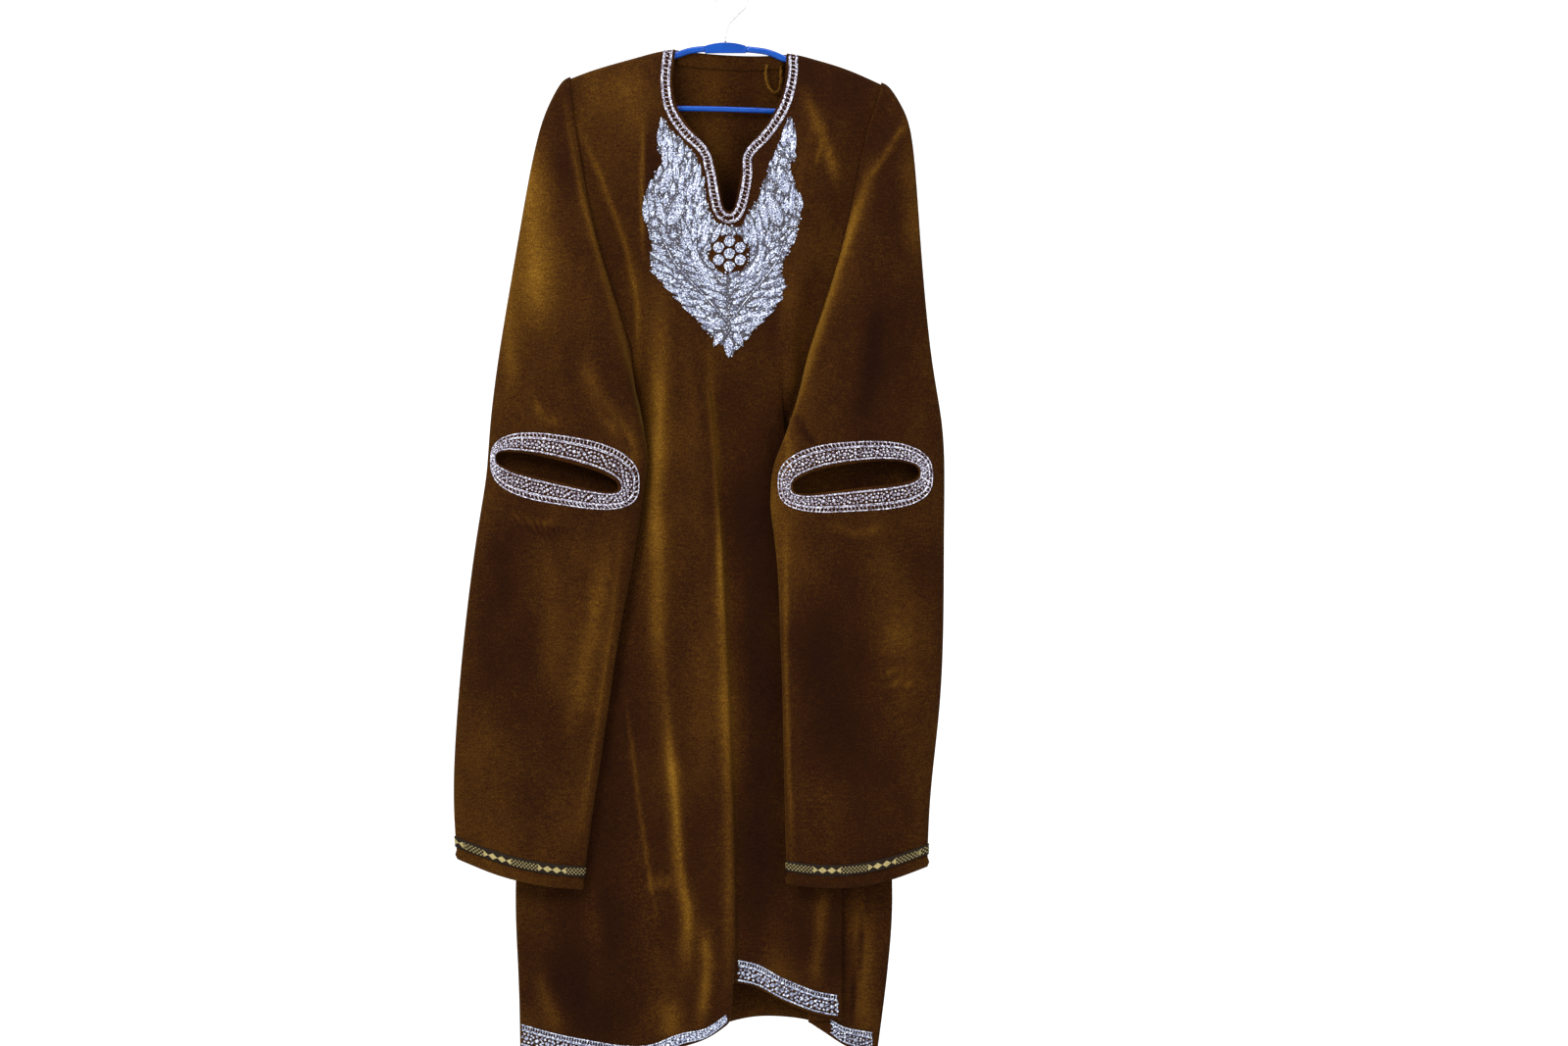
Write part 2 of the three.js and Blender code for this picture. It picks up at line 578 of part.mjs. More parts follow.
// First ring of a sleeve, along the armhole seam. f runs from the shoulder to the underarm.
function armholePoint(side, outward, f, wallName) {
  const underarm = outward < 0 ? -530 : -540;
  const z = lerp(side[0].z, underarm + UNDERARM_LIFT, f);
  const left = ({ from, to }) => 1 - smooth((f - from) / (to - from));
  const x = read(side, 'z', 'x', z) + outward * lerp(UNDERARM_OFFSET, -LAP_WIDTH, left(LAP_END));
  if (f === 0) return new THREE.Vector3(x, 0, ridge(x) + LAP_RISE);
  if (f === 1) return new THREE.Vector3(x, 0, z);
  // Square off the panel, which leans where it rounds the shoulder.
  const way = wallName === 'front' ? -1 : 1;
  const depth = (down) => read(side, 'z', wallName, z - down);
  const off = new THREE.Vector3(0, way, (way * (depth(1) - depth(-1))) / 2).setLength(LAP_RISE);
  return new THREE.Vector3(x, depth(0), z).addScaledVector(off, left(RISE_END));
}

function sleevePoint(ring, f, wallName) {
  const edge = lerp(ring.outerY, ring.innerY, f);
  const middle = lerp(ring.outerY, ring.innerY, 0.5);
  const outward = Math.sign(ring.outerX - ring.innerX);
  const bulge = wallName === 'back' ? outward * BACK_BULGE * Math.sin(Math.PI * f) : 0;
  return new THREE.Vector3(
    lerp(ring.outerX, ring.innerX, f) + bulge,
    edge + (ring[wallName] - middle) * section(f),
    lerp(ring.outerZ, ring.innerZ, f) - ring.sag * Math.sin(Math.PI * f),
  );
}

// Rings run clockwise from above the front wall, so that a wall's outside is outside.
function sleeveGrid(rings, side, outward) {
  const steps = [0, SHOULDER_STEP, ...columnsFrom(1, WALL_POINTS - 1).map((n) => n / WALL_POINTS)];
  const shares = steps.map((t) => (1 - Math.cos(Math.PI * t)) / 2);
  const home = [1, ...shares.slice(1).reverse()];
  const walk = [...shares.map((f) => [f, 'front']), ...home.map((f) => [f, 'back'])];
  if (outward > 0) walk.reverse();
  const armhole = walk.map(([f, name]) => armholePoint(side, outward, f, name));
  // The lap runs straight out past the panels' edge before the sleeve falls.
  const lapEnd = armhole.map((p, n) => {
    const left = 1 - walk[n][0];
    return p.clone().add(new THREE.Vector3(outward * LAP_OUT * left, 0, -LAP_FALL * left));
  });
  return [armhole, lapEnd, ...rings.map((ring) => walk.map(([f, name]) => sleevePoint(ring, f, name)))];
}

// ---------- hand slits ----------

// Each hand slit and its border: the middle x and z, half the length, half the height, the slope
// and how much the middle rises.
const slits = {
  left: {
    slit: { x: -209, z: -590, long: 74, high: 13, tilt: -0.24, bow: 2 },
    border: { x: -199.5, z: -590, long: 89.5, high: 42, tilt: -0.15, bow: 2 },
  },
  right: {
    slit: { x: 150, z: -599, long: 76, high: 15, tilt: 0.12, bow: 5 },
    border: { x: 149.5, z: -599, long: 93, high: 42, tilt: 0.05, bow: 4 },
  },
};
const SLIT_POINTS = 32;
const SLIT_ROUNDNESS = 0.72;  // below 1 squares the ends of the outline

// A point of the outline between the slit and the edge of its border, turn 0 to 1 round it.
function slitPlace({ slit, border }, turn, out) {
  const angle = turn * 2 * Math.PI;
  const power = (v) => Math.sign(v) * Math.abs(v) ** SLIT_ROUNDNESS;
  const [u, v] = [power(Math.cos(angle)), power(Math.sin(angle))];
  const between = (name) => lerp(slit[name], border[name], out);
  const x = between('x') + between('long') * u;
  const z = between('z') + between('high') * v + between('tilt') * between('long') * u;
  return { x, z: z + between('bow') * (1 - u * u) };
}

const slitTurns = columnsFrom(0, SLIT_POINTS - 1).map((n) => n / SLIT_POINTS);

// A cutter through the front wall only: it stops on the sleeve's middle.
function slitCutter(slit, rings) {
  const shape = new THREE.Shape(slitTurns.map((turn) => {
    const { x, z } = slitPlace(slit, turn, 0);
    return new THREE.Vector2(x, z);
  }));
  const geometry = new THREE.ExtrudeGeometry(shape, { depth: 1, steps: 1, bevelEnabled: false });
  geometry.rotateX(Math.PI / 2);
  const place = geometry.attributes.position;
  const ring = rings[8];
  for (let n = 0; n < place.count; n++) {
    const share = clamp01((place.getX(n) - ring.outerX) / (ring.innerX - ring.outerX));
    const middle = (lerp(ring.outerY, ring.innerY, share) + lerp(ring.front, ring.back, 0.5)) / 2;
    place.setY(n, place.getY(n) < -0.5 ? -90 : middle);
  }
  return geometry;
}

// ---------- boolean cuts ----------

function toManifold(geometry) {
  const bare = new THREE.BufferGeometry();
  bare.setAttribute('position', geometry.attributes.position);
  if (geometry.index) bare.setIndex(geometry.index);
  const merged = mergeVertices(bare, 1e-4);
  return new wasm.Manifold(new wasm.Mesh({
    numProp: 3,
    vertProperties: new Float32Array(merged.attributes.position.array),
    triVerts: new Uint32Array(merged.index.array),
  }));
}

function toGeometry(solid) {
  const mesh = solid.getMesh();
  const geometry = new THREE.BufferGeometry();
  geometry.setAttribute('position', new THREE.Float32BufferAttribute(mesh.vertProperties, 3));
  geometry.setIndex(new THREE.Uint32BufferAttribute(mesh.triVerts, 1));
  return geometry;
}

const cut = (geometry, cutter) => toGeometry(toManifold(geometry).subtract(toManifold(cutter)));
const fuse = (geometries) => toGeometry(geometries.map(toManifold).reduce((a, b) => a.add(b)));

// ---------- pieces sewn on ----------

// Two raised cords with a chain between them, along the neck edge.
function neckBraid(face) {
  const profile = table('across height', [[0, 1.3], [0.3, 0.7], [0.7, 0.7], [1, 1.3]]);
  const places = spread(36).map((t) => {
    const share = lerp(0.016, 0.984, t);
    const [here, next] = [neckPoint(share - 0.004), neckPoint(share + 0.004)];
    const away = new THREE.Vector3().subVectors(next, here).normalize();
    const middle = neckPoint(share);
    return profile.map(({ across, height }) => {
      const out = BRAID_INSET + across * BRAID_WIDTH;
      return { x: middle.x + away.z * out, z: middle.z - away.x * out, height };
    });
  });
  return layOn(face, places);
}

// Breast embroidery: a field from the braid to a leafy outline, in two lobes that meet below the slit.
const fieldOutline = table('x z', [
  [-85, -163], [-86, -190], [-87, -216], [-97, -240], [-102, -268], [-99, -295], [-94, -322], [-92, -348],
  [-70, -374], [-44, -402], [-20, -426], [-1, -444], [14, -430], [36, -405], [61, -372], [60, -348],
  [68, -320], [80, -288], [82, -262], [73, -236], [71, -214], [75, -190], [73, -164],
]);
const fieldInside = table('x z', [
  [-80, -164], [-72, -176], [-57, -190], [-38, -208], [-32, -230], [-27, -262], [-21, -288], [-1, -296],
  [17, -289], [26, -270], [36, -246], [46, -222], [58, -192], [70, -166],
]);

function breastEmbroidery(face) {
  const outline = curveOf(fieldOutline);
  const inside = curveOf(fieldInside);
  const steps = spread(LEAF_TIPS * 2 + 1);
  const across = spread(6);
  const places = steps.map((t, n) => {
    const [from, to] = [inside(t), outline(t)];
    const away = to.clone().sub(from).normalize();
    const tip = n % 2 === 1 ? LEAF_REACH : 0;
    to.addScaledVector(away, tip);
    return across.map((s, k) => {
      const leaf = (n + k) % 2 === 1 ? 0.9 : 0;
      const edge = k === 0 || k === across.length - 1;
      const height = CORD_HEIGHT + (edge ? 0 : leaf);
      return { x: lerp(from.x, to.x, s), z: lerp(from.z, to.z, s), height };
    });
  });
  return layOn(face, places);
}

// Seven coiled rounds of cord, one in the middle and six round it, fused where they touch.
const ROSETTE = { x: -2, z: -327, coil: 7.8, apart: 15, thick: 1.4, stand: 3.9 };

function breastRosette(face) {
  const coils = [{ x: ROSETTE.x, z: ROSETTE.z }];
  for (let n = 0; n < 6; n++) {
    const angle = (n * Math.PI) / 3 + Math.PI / 6;
    coils.push({
      x: ROSETTE.x + ROSETTE.apart * Math.cos(angle),
      z: ROSETTE.z + ROSETTE.apart * Math.sin(angle),
    });
  }
  const level = Math.min(...coils.map(({ x, z }) => face(x, z, 0).y));
  return fuse(coils.map(({ x, z }) => {
    const coil = new THREE.CylinderGeometry(ROSETTE.coil, ROSETTE.coil, ROSETTE.thick, 14);
    coil.translate(x, level - ROSETTE.stand, z);
    return coil;
  }));
}

// Raised ring round a hand slit: an outer ladder, a band of blossoms and an inner cord.
function slitBorder(face, slit) {
  const profile = table('out height', [[SLIT_EDGE / 25, 1.3], [0.3, 0.8], [0.66, 1.1], [1, 1.3]]);
  const places = profile.map(({ out, height }) =>
    slitTurns.map((turn) => ({ ...slitPlace(slit, turn, out), height })));
  return layOn(face, places, true);
}

// The outer face of one column of a wall at height z.
function columnAt({ outside, normals }, j, z) {
  let i = 0;
  while (i < outside.length - 2 && outside[i + 1][j].z > z) i++;
  const share = (z - outside[i][j].z) / (outside[i + 1][j].z - outside[i][j].z);
  const normal = normals[i][j].clone().lerp(normals[i + 1][j], share).normalize();
  return { point: outside[i][j].clone().lerp(outside[i + 1][j], share), normal };
}

// A border along a hem, made from some of the panel's own columns moved out. lineAt gives the
// height of its top line at x.
function hemBorder(panel, columns, lineAt) {
  const profile = table('down height', [[0, 1.3], [0.3, 0.8], [0.65, 1.1], [1, 1.2]]);
  const lay = (lift) => columns.map((j) => {
    const end = panel.outside[panel.outside.length - 1][j];
    const [top, edge] = [lineAt(end.x), end.z + HEM_EDGE];
    return profile.map(({ down, height }) => {
      const { point, normal } = columnAt(panel, j, lerp(top, edge, down));
      return point.addScaledVector(normal, HEM_LAY_GAP + lift(height));
    });
  });
  return between(lay((height) => height), lay(() => 0), false);
}

// Woven ribbon round a sleeve, a little above the cuff, made from the sleeve's points moved out.
function cuffRibbon({ outside, normals }) {
  const last = outside.length - 1;
  const heights = [{ z: 28 }, { z: 15 }];
  const lay = (lift) => heights.map(({ z }) => outside[last].map((end, j) => {
    const start = outside[last - 1][j];
    const share = z / (start.z - end.z);
    return end.clone().lerp(start, share).addScaledVector(normals[last][j], LAY_GAP + lift);
  }));
  return between(lay(RIBBON_THICK), lay(0), true);
}

// Strip turned in along the back neck, on the inside of the back.
function backFacing({ outside, normals }) {
  const rows = [1, 2, 3, 4];
  const columns = spread(9).map((t) => BACK_NECK_FROM + Math.round(t * (BACK_NECK_TO - BACK_NECK_FROM)));
  const lay = (lift) => rows.map((i) => columns.map((index) => {
    const j = BACK_COLUMNS - 1 - index;
    const trim = index === BACK_NECK_FROM ? 3 : index === BACK_NECK_TO ? -3 : 0;
    const point = outside[i][j].clone().addScaledVector(normals[i][j], -(CLOTH + LAY_GAP + lift));
    point.x += trim;
    return point;
  }));
  return between(lay(0), lay(CLOTH), false);
}

// ---------- tubes ----------

// A solid tube along a smooth curve through the points.
function tube(points, radius, sides, steps) {
  const places = points.map((p) => new THREE.Vector3(...p));
  const curve = new THREE.CatmullRomCurve3(places, false, 'centripetal');
  const circle = new THREE.Shape(columnsFrom(0, sides - 1).map((n) => {
    const angle = (n * 2 * Math.PI) / sides;
    return new THREE.Vector2(radius * Math.cos(angle), radius * Math.sin(angle));
  }));
  return new THREE.ExtrudeGeometry(circle, { steps, extrudePath: curve, bevelEnabled: false });
}

const HANGER_CENTRE_X = -7;
const HANGER_CENTRE_Z = -79;
const PLATE_HALF = 25;
const NECK_DIP = 0.8;         // the arm runs a little lower where it leaves the shoulder
const PLATE_GAP = 1.2;        // plate end to arm
const BAR_GAP = 1.6;          // bar end to the middle of the arm's last bend
const BAR_DROP = { left: 11, right: 15 };   // how far the arm's end runs straight down to the bar

// Height of the hanger's arm: under the cloth on the shoulder, level between the two neck points.
const armZ = (x) => ridge(x) - SHOULDER_RADIUS;

function hangerArm(outward) {
  const start = HANGER_CENTRE_X + outward * (PLATE_HALF + PLATE_GAP);
  const shoulderX = outward < 0 ? [-66, -86, -110, -135, -160, -178] : [65, 84, 104, 126, 146, 162];
  const tilt = -0.01;
  const level = (x) => HANGER_CENTRE_Z + tilt * (x - HANGER_CENTRE_X);
  const points = [
    [start, 0, level(start)],
    [lerp(start, shoulderX[0], 0.6), 0, lerp(level(start), armZ(shoulderX[0]) - NECK_DIP, 0.3)],
    ...shoulderX.map((x, n) => [x, 0, armZ(x) - (n < 2 ? NECK_DIP : 0)]),
  ];
  const end = shoulderX[shoulderX.length - 1];
  const z = armZ(end);
  const down = outward < 0 ? BAR_DROP.left : BAR_DROP.right;
  const bend = [[9, -7], [11, -15 - down / 2], [6, -22 - down], [-4, -26 - down]];
  points.push(...bend.map(([out, up]) => [end + outward * out, 0, z + up]));
  return { points, geometry: tube(points, ARM_RADIUS, 8, 18) };
}

// Bottom bar between the ends of the two arms, a little arched.
function hangerBar(left, right) {
  const [a, b] = [left.points, right.points].map((points) => points[points.length - 1]);
  const arch = 5;
  const points = spread(7).map((t) => {
    const x = lerp(a[0] + BAR_GAP, b[0] - BAR_GAP, t);
    return [x, 0, lerp(a[2], b[2], t) + arch * Math.sin(Math.PI * t)];
  });
  return tube(points, BAR_RADIUS, 8, 10);
}

function hangerPlate() {
  const plate = new THREE.Shape();
  plate.moveTo(-PLATE_HALF, -5);
  plate.lineTo(PLATE_HALF, -5);
  plate.lineTo(PLATE_HALF, 4);
  plate.quadraticCurveTo(0, 12, -PLATE_HALF, 4);
  const depth = 9;
  const geometry = new THREE.ExtrudeGeometry(plate, { depth, bevelEnabled: false, curveSegments: 8 });
  geometry.rotateX(Math.PI / 2);
  geometry.translate(HANGER_CENTRE_X, depth / 2, HANGER_CENTRE_Z);
  return geometry;
}

// Hook: a straight stem, then a round loop that is open on the left.
function hangerHook() {
  const radius = HOOK_INNER_RADIUS + WIRE_RADIUS;
  const stemZ = HANGER_CENTRE_Z + 8.5;
  const points = [[0, 0], [0, 10], [3, 20]].map(([x, z]) => [HANGER_CENTRE_X + x, 0, stemZ + z]);
  for (let degrees = -60; degrees <= 190; degrees += 25) {
    const angle = (degrees * Math.PI) / 180;
    points.push([radius * Math.cos(angle), 0, radius * Math.sin(angle) - HOOK_INNER_RADIUS]);
  }
  return tube(points, WIRE_RADIUS, 6, 28);
}

// Cloth loop sewn inside the back neck.
function hangingLoop() {
  const points = [
    [43, 3.4, -98], [41, 2, -110], [45, 2.5, -125], [53, 3, -132], [59, 2.5, -125], [60, 3.4, -99],
  ];
  return tube(points, 1.8, 6, 14);
}

// ---------- the object ----------

const pheran = new THREE.Group();

function add(name, geometry, look) {
  const mesh = new THREE.Mesh(geometry, look);
  mesh.name = name;
  pheran.add(mesh);
}

const look = (color, roughness, metalness = 0) =>
  new THREE.MeshStandardMaterial({ color, roughness, metalness });
const velvet = look(0x5a3510, 0.9);
const tilla = look(0xc9c9d6, 0.4, 0.7);
const ribbon = look(0xb09048, 0.5, 0.4);
const bluePlastic = look(0x1548b8, 0.25);
const steel = look(0xb8bcc0, 0.25, 0.9);

const front = wall(frontGrid());
const back = wall(backGrid());
const sleeveLeft = wall(sleeveGrid(leftSleeve, leftSide, -1), true);
const sleeveRight = wall(sleeveGrid(rightSleeve, rightSide, 1), true);
const onFront = faceOf(front, -1);

add('front', front.geometry, velvet);
add('back', back.geometry, velvet);
add('sleeve_left', cut(sleeveLeft.geometry, slitCutter(slits.left, leftSleeve)), velvet);
add('sleeve_right', cut(sleeveRight.geometry, slitCutter(slits.right, rightSleeve)), velvet);
add('back_neck_facing', backFacing(back), velvet);
add('hanging_loop', hangingLoop(), velvet);
add('neck_braid', neckBraid(onFront), tilla);
add('breast_embroidery', breastEmbroidery(onFront), tilla);
add('breast_rosette', breastRosette(onFront), tilla);
add('slit_border_left', slitBorder(faceOf(sleeveLeft, -1), slits.left), tilla);
add('slit_border_right', slitBorder(faceOf(sleeveRight, -1), slits.right), tilla);
add('cuff_ribbon_left', cuffRibbon(sleeveLeft), ribbon);
add('cuff_ribbon_right', cuffRibbon(sleeveRight), ribbon);

// The front borders stop where the hem goes in under a pleat.
const middleFrom = LEFT_COLUMNS + TURN_COLUMNS;
const rightFrom = middleFrom + MIDDLE_COLUMNS + TURN_COLUMNS;
const frontBorders = [
  { name: 'left', hem: leftHem, columns: columnsFrom(0, LEFT_COLUMNS - 1) },
  { name: 'middle', hem: middleHem, columns: columnsFrom(middleFrom + 2, middleFrom + MIDDLE_COLUMNS - 1) },
  { name: 'right', hem: rightHem, columns: columnsFrom(rightFrom + 1, rightFrom + STRIP_COLUMNS - 1) },
];
for (const { name, hem, columns } of frontBorders) {
  add(`hem_border_front_${name}`, hemBorder(front, columns, (x) => read(hem, 'x', 'border', x)), tilla);
}
const backLine = (x) => read(backHem, 'x', 'z', x) + HEM_EDGE + HEM_BORDER;
add('hem_border_back', hemBorder(back, columnsFrom(0, BACK_COLUMNS - 1), backLine), tilla);

const armLeft = hangerArm(-1);
const armRight = hangerArm(1);
add('hanger_arm_left', armLeft.geometry, bluePlastic);
add('hanger_arm_right', armRight.geometry, bluePlastic);
add('hanger_bar', hangerBar(armLeft, armRight), bluePlastic);
add('hanger_plate', hangerPlate(), bluePlastic);
add('hanger_hook', hangerHook(), steel);

export default pheran;
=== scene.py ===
"""A velvet pheran with silver tilla embroidery, hanging on a blue tube hanger.

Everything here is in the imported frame: metres, +Z up, the front faces -Y. Tables are in
millimetres, as x z pairs seen from the front, and `mm` turns them into metres.
"""

import math
import random

import bmesh
import bpy
import numpy as np
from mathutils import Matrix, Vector, noise
from mathutils.bvhtree import BVHTree


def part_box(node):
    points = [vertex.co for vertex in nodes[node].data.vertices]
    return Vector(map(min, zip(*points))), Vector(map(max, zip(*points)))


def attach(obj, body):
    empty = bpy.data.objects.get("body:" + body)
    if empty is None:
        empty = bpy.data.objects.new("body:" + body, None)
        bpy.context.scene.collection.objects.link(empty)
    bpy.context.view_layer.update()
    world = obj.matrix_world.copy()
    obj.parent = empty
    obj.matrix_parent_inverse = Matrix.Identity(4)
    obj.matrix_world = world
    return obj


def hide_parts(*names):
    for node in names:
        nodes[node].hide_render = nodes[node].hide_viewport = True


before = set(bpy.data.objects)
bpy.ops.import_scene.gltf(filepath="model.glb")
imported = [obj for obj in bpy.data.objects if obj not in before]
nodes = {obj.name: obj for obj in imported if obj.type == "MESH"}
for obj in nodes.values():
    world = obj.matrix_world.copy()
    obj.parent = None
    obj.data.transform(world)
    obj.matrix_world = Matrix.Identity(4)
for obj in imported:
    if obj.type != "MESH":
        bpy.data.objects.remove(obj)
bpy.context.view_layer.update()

MM = 0.001
WALL = 1.6 * MM               # velvet wall of the frame
FRONT, BACK = -1, 1           # the side that a piece is seen and laid from


def mm(points):
    return [(x * MM, z * MM) for x, z in points]


def lerp(a, b, t):
    return a + (b - a) * t


def smooth(t):
    t = min(1.0, max(0.0, t))
    return t * t * (3 - 2 * t)


def neighbours(points, i):
    """The four points that a curve's stretch from point i to the next depends on."""
    return [points[max(0, min(len(points) - 1, i + k))] for k in (-1, 0, 1, 2)]


def catmull(p0, p1, p2, p3, t):
    """The place at share t of the way from p1 to p2, on a curve through all four."""
    return 0.5 * (2 * p1 + (p2 - p0) * t + (2 * p0 - 5 * p1 + 4 * p2 - p3) * t ** 2
                  + (3 * p1 - p0 - 3 * p2 + p3) * t ** 3)


def smooth_faces(mesh):
    mesh.polygons.foreach_set("use_smooth", [True] * len(mesh.polygons))


def link(item):
    bpy.context.scene.collection.objects.link(item)


# ---------- materials ----------


class Shade:
    """A Principled material under construction."""

    def __init__(self, name, **constants):
        self.material = bpy.data.materials.new(name)
        self.material.use_nodes = True
        self.tree = self.material.node_tree
        self.bsdf = self.tree.nodes["Principled BSDF"]
        for socket, value in constants.items():
            self.bsdf.inputs[socket.replace("_", " ")].default_value = value

    def node(self, kind, inputs=(), **settings):
        made = self.tree.nodes.new(kind)
        for key, value in settings.items():
            setattr(made, key, value)
        for key, value in dict(inputs).items():
            if isinstance(value, bpy.types.NodeSocket):
                self.tree.links.new(value, made.inputs[key])
            else:
                made.inputs[key].default_value = value
        return made

    def link(self, source, socket):
        self.tree.links.new(source, self.bsdf.inputs[socket])

    def math(self, operation, a, b=0.0, c=0.0):
        return self.node("ShaderNodeMath", {0: a, 1: b, 2: c}, operation=operation).outputs[0]

    def plus(self, a, b):
        return self.math("ADD", a, b)

    def minus(self, a, b):
        return self.math("SUBTRACT", a, b)

    def times(self, a, b):
        return self.math("MULTIPLY", a, b)

    def place(self, scale=(1, 1, 1)):
        at = self.node("ShaderNodeTexCoord").outputs["Object"]
        return self.node("ShaderNodeMapping", {"Vector": at, "Scale": scale}).outputs[0]

    def noise(self, scale, detail=2.0, stretch=(1, 1, 1)):
        inputs = {"Vector": self.place(stretch), "Scale": scale, "Detail": detail}
        return self.node("ShaderNodeTexNoise", inputs).outputs["Fac"]

    def mapped(self, value, low, high, to_low, to_high):
        inputs = {"Value": value, "From Min": low, "From Max": high, "To Min": to_low, "To Max": to_high}
        return self.node("ShaderNodeMapRange", inputs).outputs[0]

    def ramp(self, value, stops):
        made = self.node("ShaderNodeValToRGB", {"Fac": value})
        spare = made.color_ramp.elements
        while len(spare) < len(stops):
            spare.new(0.5)
        for element, (at, color) in zip(spare, stops):
            element.position = at
            element.color = (*color, 1)
        return made.outputs["Color"]

    def bump(self, layers):
        """layers are (height, strength, distance in metres), from the coarsest to the finest."""
        normal = None
        for height, strength, distance in layers:
            inputs = {"Height": height, "Strength": strength, "Distance": distance}
            if normal:
                inputs["Normal"] = normal
            normal = self.node("ShaderNodeBump", inputs).outputs["Normal"]
        self.link(normal, "Normal")


def velvet_look():
    """Brown pile: dark looked into, golden where it is brushed the other way. The per-vertex value it reads
    also holds painted highlights along fold ridges and painted shade in valleys and creases.
    """
    shade = Shade("velvet", Roughness=0.85, Sheen_Weight=0.10, Sheen_Roughness=0.35,
                  Sheen_Tint=(1.0, 0.55, 0.12, 1), Specular_IOR_Level=0.04)
    nap_and_painted_light = shade.node("ShaderNodeAttribute", attribute_name="nap_and_painted_light").outputs["Fac"]
    clouds = shade.mapped(shade.noise(16, 4, (1, 1, 0.6)), 0.3, 0.7, -0.10, 0.10)
    brushed = shade.mapped(shade.noise(1, 5, (110, 110, 520)), 0.3, 0.7, -0.06, 0.06)
    pile = shade.mapped(shade.noise(600, 4), 0.3, 0.7, -0.17, 0.17)
    lay = shade.plus(nap_and_painted_light, shade.plus(clouds, shade.plus(brushed, pile)))
    shade.link(shade.ramp(lay, [
        (0.0, (0.009, 0.0022, 0.0006)), (0.3, (0.019, 0.0052, 0.0009)), (0.55, (0.045, 0.0165, 0.0019)),
        (0.8, (0.098, 0.042, 0.0040)), (1.0, (0.175, 0.084, 0.009)),
    ]), "Base Color")
    shade.bump([(shade.noise(24, 3, (1, 1, 0.45)), 0.25, 0.004),
                (shade.noise(1, 4, (160, 160, 900)), 0.35, 0.0008),
                (shade.noise(1400, 2), 0.4, 0.0006)])
    return shade.material


def tilla_look(name, tint, metallic):
    """Silver metal thread: bright beads of it, dark in the joints between them."""
    shade = Shade(name, Roughness=0.36, Metallic=metallic, Specular_IOR_Level=0.6)
    beads = shade.node("ShaderNodeTexVoronoi", {"Vector": shade.place(), "Scale": 620.0}).outputs["Distance"]
    tone = shade.plus(shade.times(shade.noise(420, 3), 0.75), shade.mapped(beads, 0.1, 0.65, 0.28, 0.0))
    dark, mid, bright = tint
    shade.link(shade.ramp(tone, [(0.34, dark), (0.48, mid), (0.60, bright)]), "Base Color")
    shade.bump([(beads, -0.8, 0.0006), (shade.noise(1500, 2), 0.4, 0.0003)])
    return shade.material


RIBBON_WIDTH = 13 * MM
RIBBON_REPEAT = 66 * MM       # half of it is fine check, and half is wedges
RIBBON_CHECK = 4.4 * MM
WEDGES = 6                    # to a repeat, if they ran all through it
GOLD_HALF = 0.30              # of the ribbon's width, each way from its middle


def ribbon_look():
    """Woven ribbon: dark ground, gold in stretches of fine check and pairs of wedges.
    UV is metres along the ribbon and metres up it."""
    shade = Shade("gold_ribbon", Roughness=0.7, Specular_IOR_Level=0.12)
    uv = shade.node("ShaderNodeSeparateXYZ", {0: shade.node("ShaderNodeUVMap", uv_map="weave").outputs[0]})
    along, up = uv.outputs[0], uv.outputs[1]
    place = shade.math("FRACT", shade.math("DIVIDE", along, RIBBON_REPEAT))
    height = shade.math("ABSOLUTE", shade.minus(shade.math("DIVIDE", up, RIBBON_WIDTH), 0.5))
    ways = [shade.math("SINE", shade.times(axis, math.tau / RIBBON_CHECK)) for axis in (along, up)]
    checks = shade.math("GREATER_THAN", shade.times(*ways), 0.22)
    wedge = shade.math("ABSOLUTE", shade.minus(shade.math("FRACT", shade.times(place, WEDGES)), 0.5))
    wedges = shade.math("LESS_THAN", height, shade.times(wedge, 0.58))
    in_checks = shade.math("LESS_THAN", place, 0.5)
    shape = shade.plus(shade.times(shade.times(checks, in_checks), 0.7),
                       shade.times(wedges, shade.minus(1.0, in_checks)))
    gold = shade.times(shape, shade.math("LESS_THAN", height, GOLD_HALF))
    gold = shade.times(gold, shade.mapped(shade.noise(500, 2), 0.3, 0.7, 0.55, 1.0))
    shade.link(shade.ramp(gold, [(0.0, (0.010, 0.005, 0.002)), (1.0, (0.40, 0.33, 0.14))]), "Base Color")
    shade.bump([(gold, 0.5, 0.0004), (shade.noise(1500, 2), 0.3, 0.0003)])
    return shade.material


def plain_look(name, low, high, grain, depth, **constants):
    """A nearly even material: two close tones in slow patches and a fine surface grain."""
    shade = Shade(name, **constants)
    tone = shade.mapped(shade.noise(35, 3), 0.3, 0.7, 0.0, 1.0)
    shade.link(shade.ramp(tone, [(0.0, low), (1.0, high)]), "Base Color")
    shade.bump([(shade.noise(grain, 2), 0.25, depth)])
    return shade.material


VELVET = velvet_look()
SILVER = tilla_look("tilla_silver", [(0.05, 0.05, 0.09), (0.34, 0.38, 0.56), (0.90, 0.97, 1.0)], 0.25)
ROSE_SILVER = tilla_look("tilla_rose", [(0.06, 0.032, 0.045), (0.38, 0.36, 0.48), (0.90, 0.93, 1.0)], 0.25)
# A darkened copy of the silver thread: painted shade for the gaps between the breast leaves.
SILVER_PAINTED_SHADE = tilla_look("tilla_silver_painted_shade", [(0.010, 0.006, 0.008), (0.035, 0.031, 0.045), (0.11, 0.11, 0.15)], 0.1)
RIBBON = ribbon_look()
THREAD = plain_look("thread", (0.03, 0.012, 0.005), (0.07, 0.03, 0.01), 900, 0.0003, Roughness=0.7)
BLUE = plain_look("blue_plastic", (0.0, 0.040, 0.26), (0.0, 0.062, 0.36), 260, 0.0002,
                  Roughness=0.16, Specular_IOR_Level=0.3)
STEEL = plain_look("steel_wire", (0.46, 0.47, 0.49), (0.58, 0.59, 0.61), 500, 0.0001,
                   Roughness=0.35, Metallic=1.0)
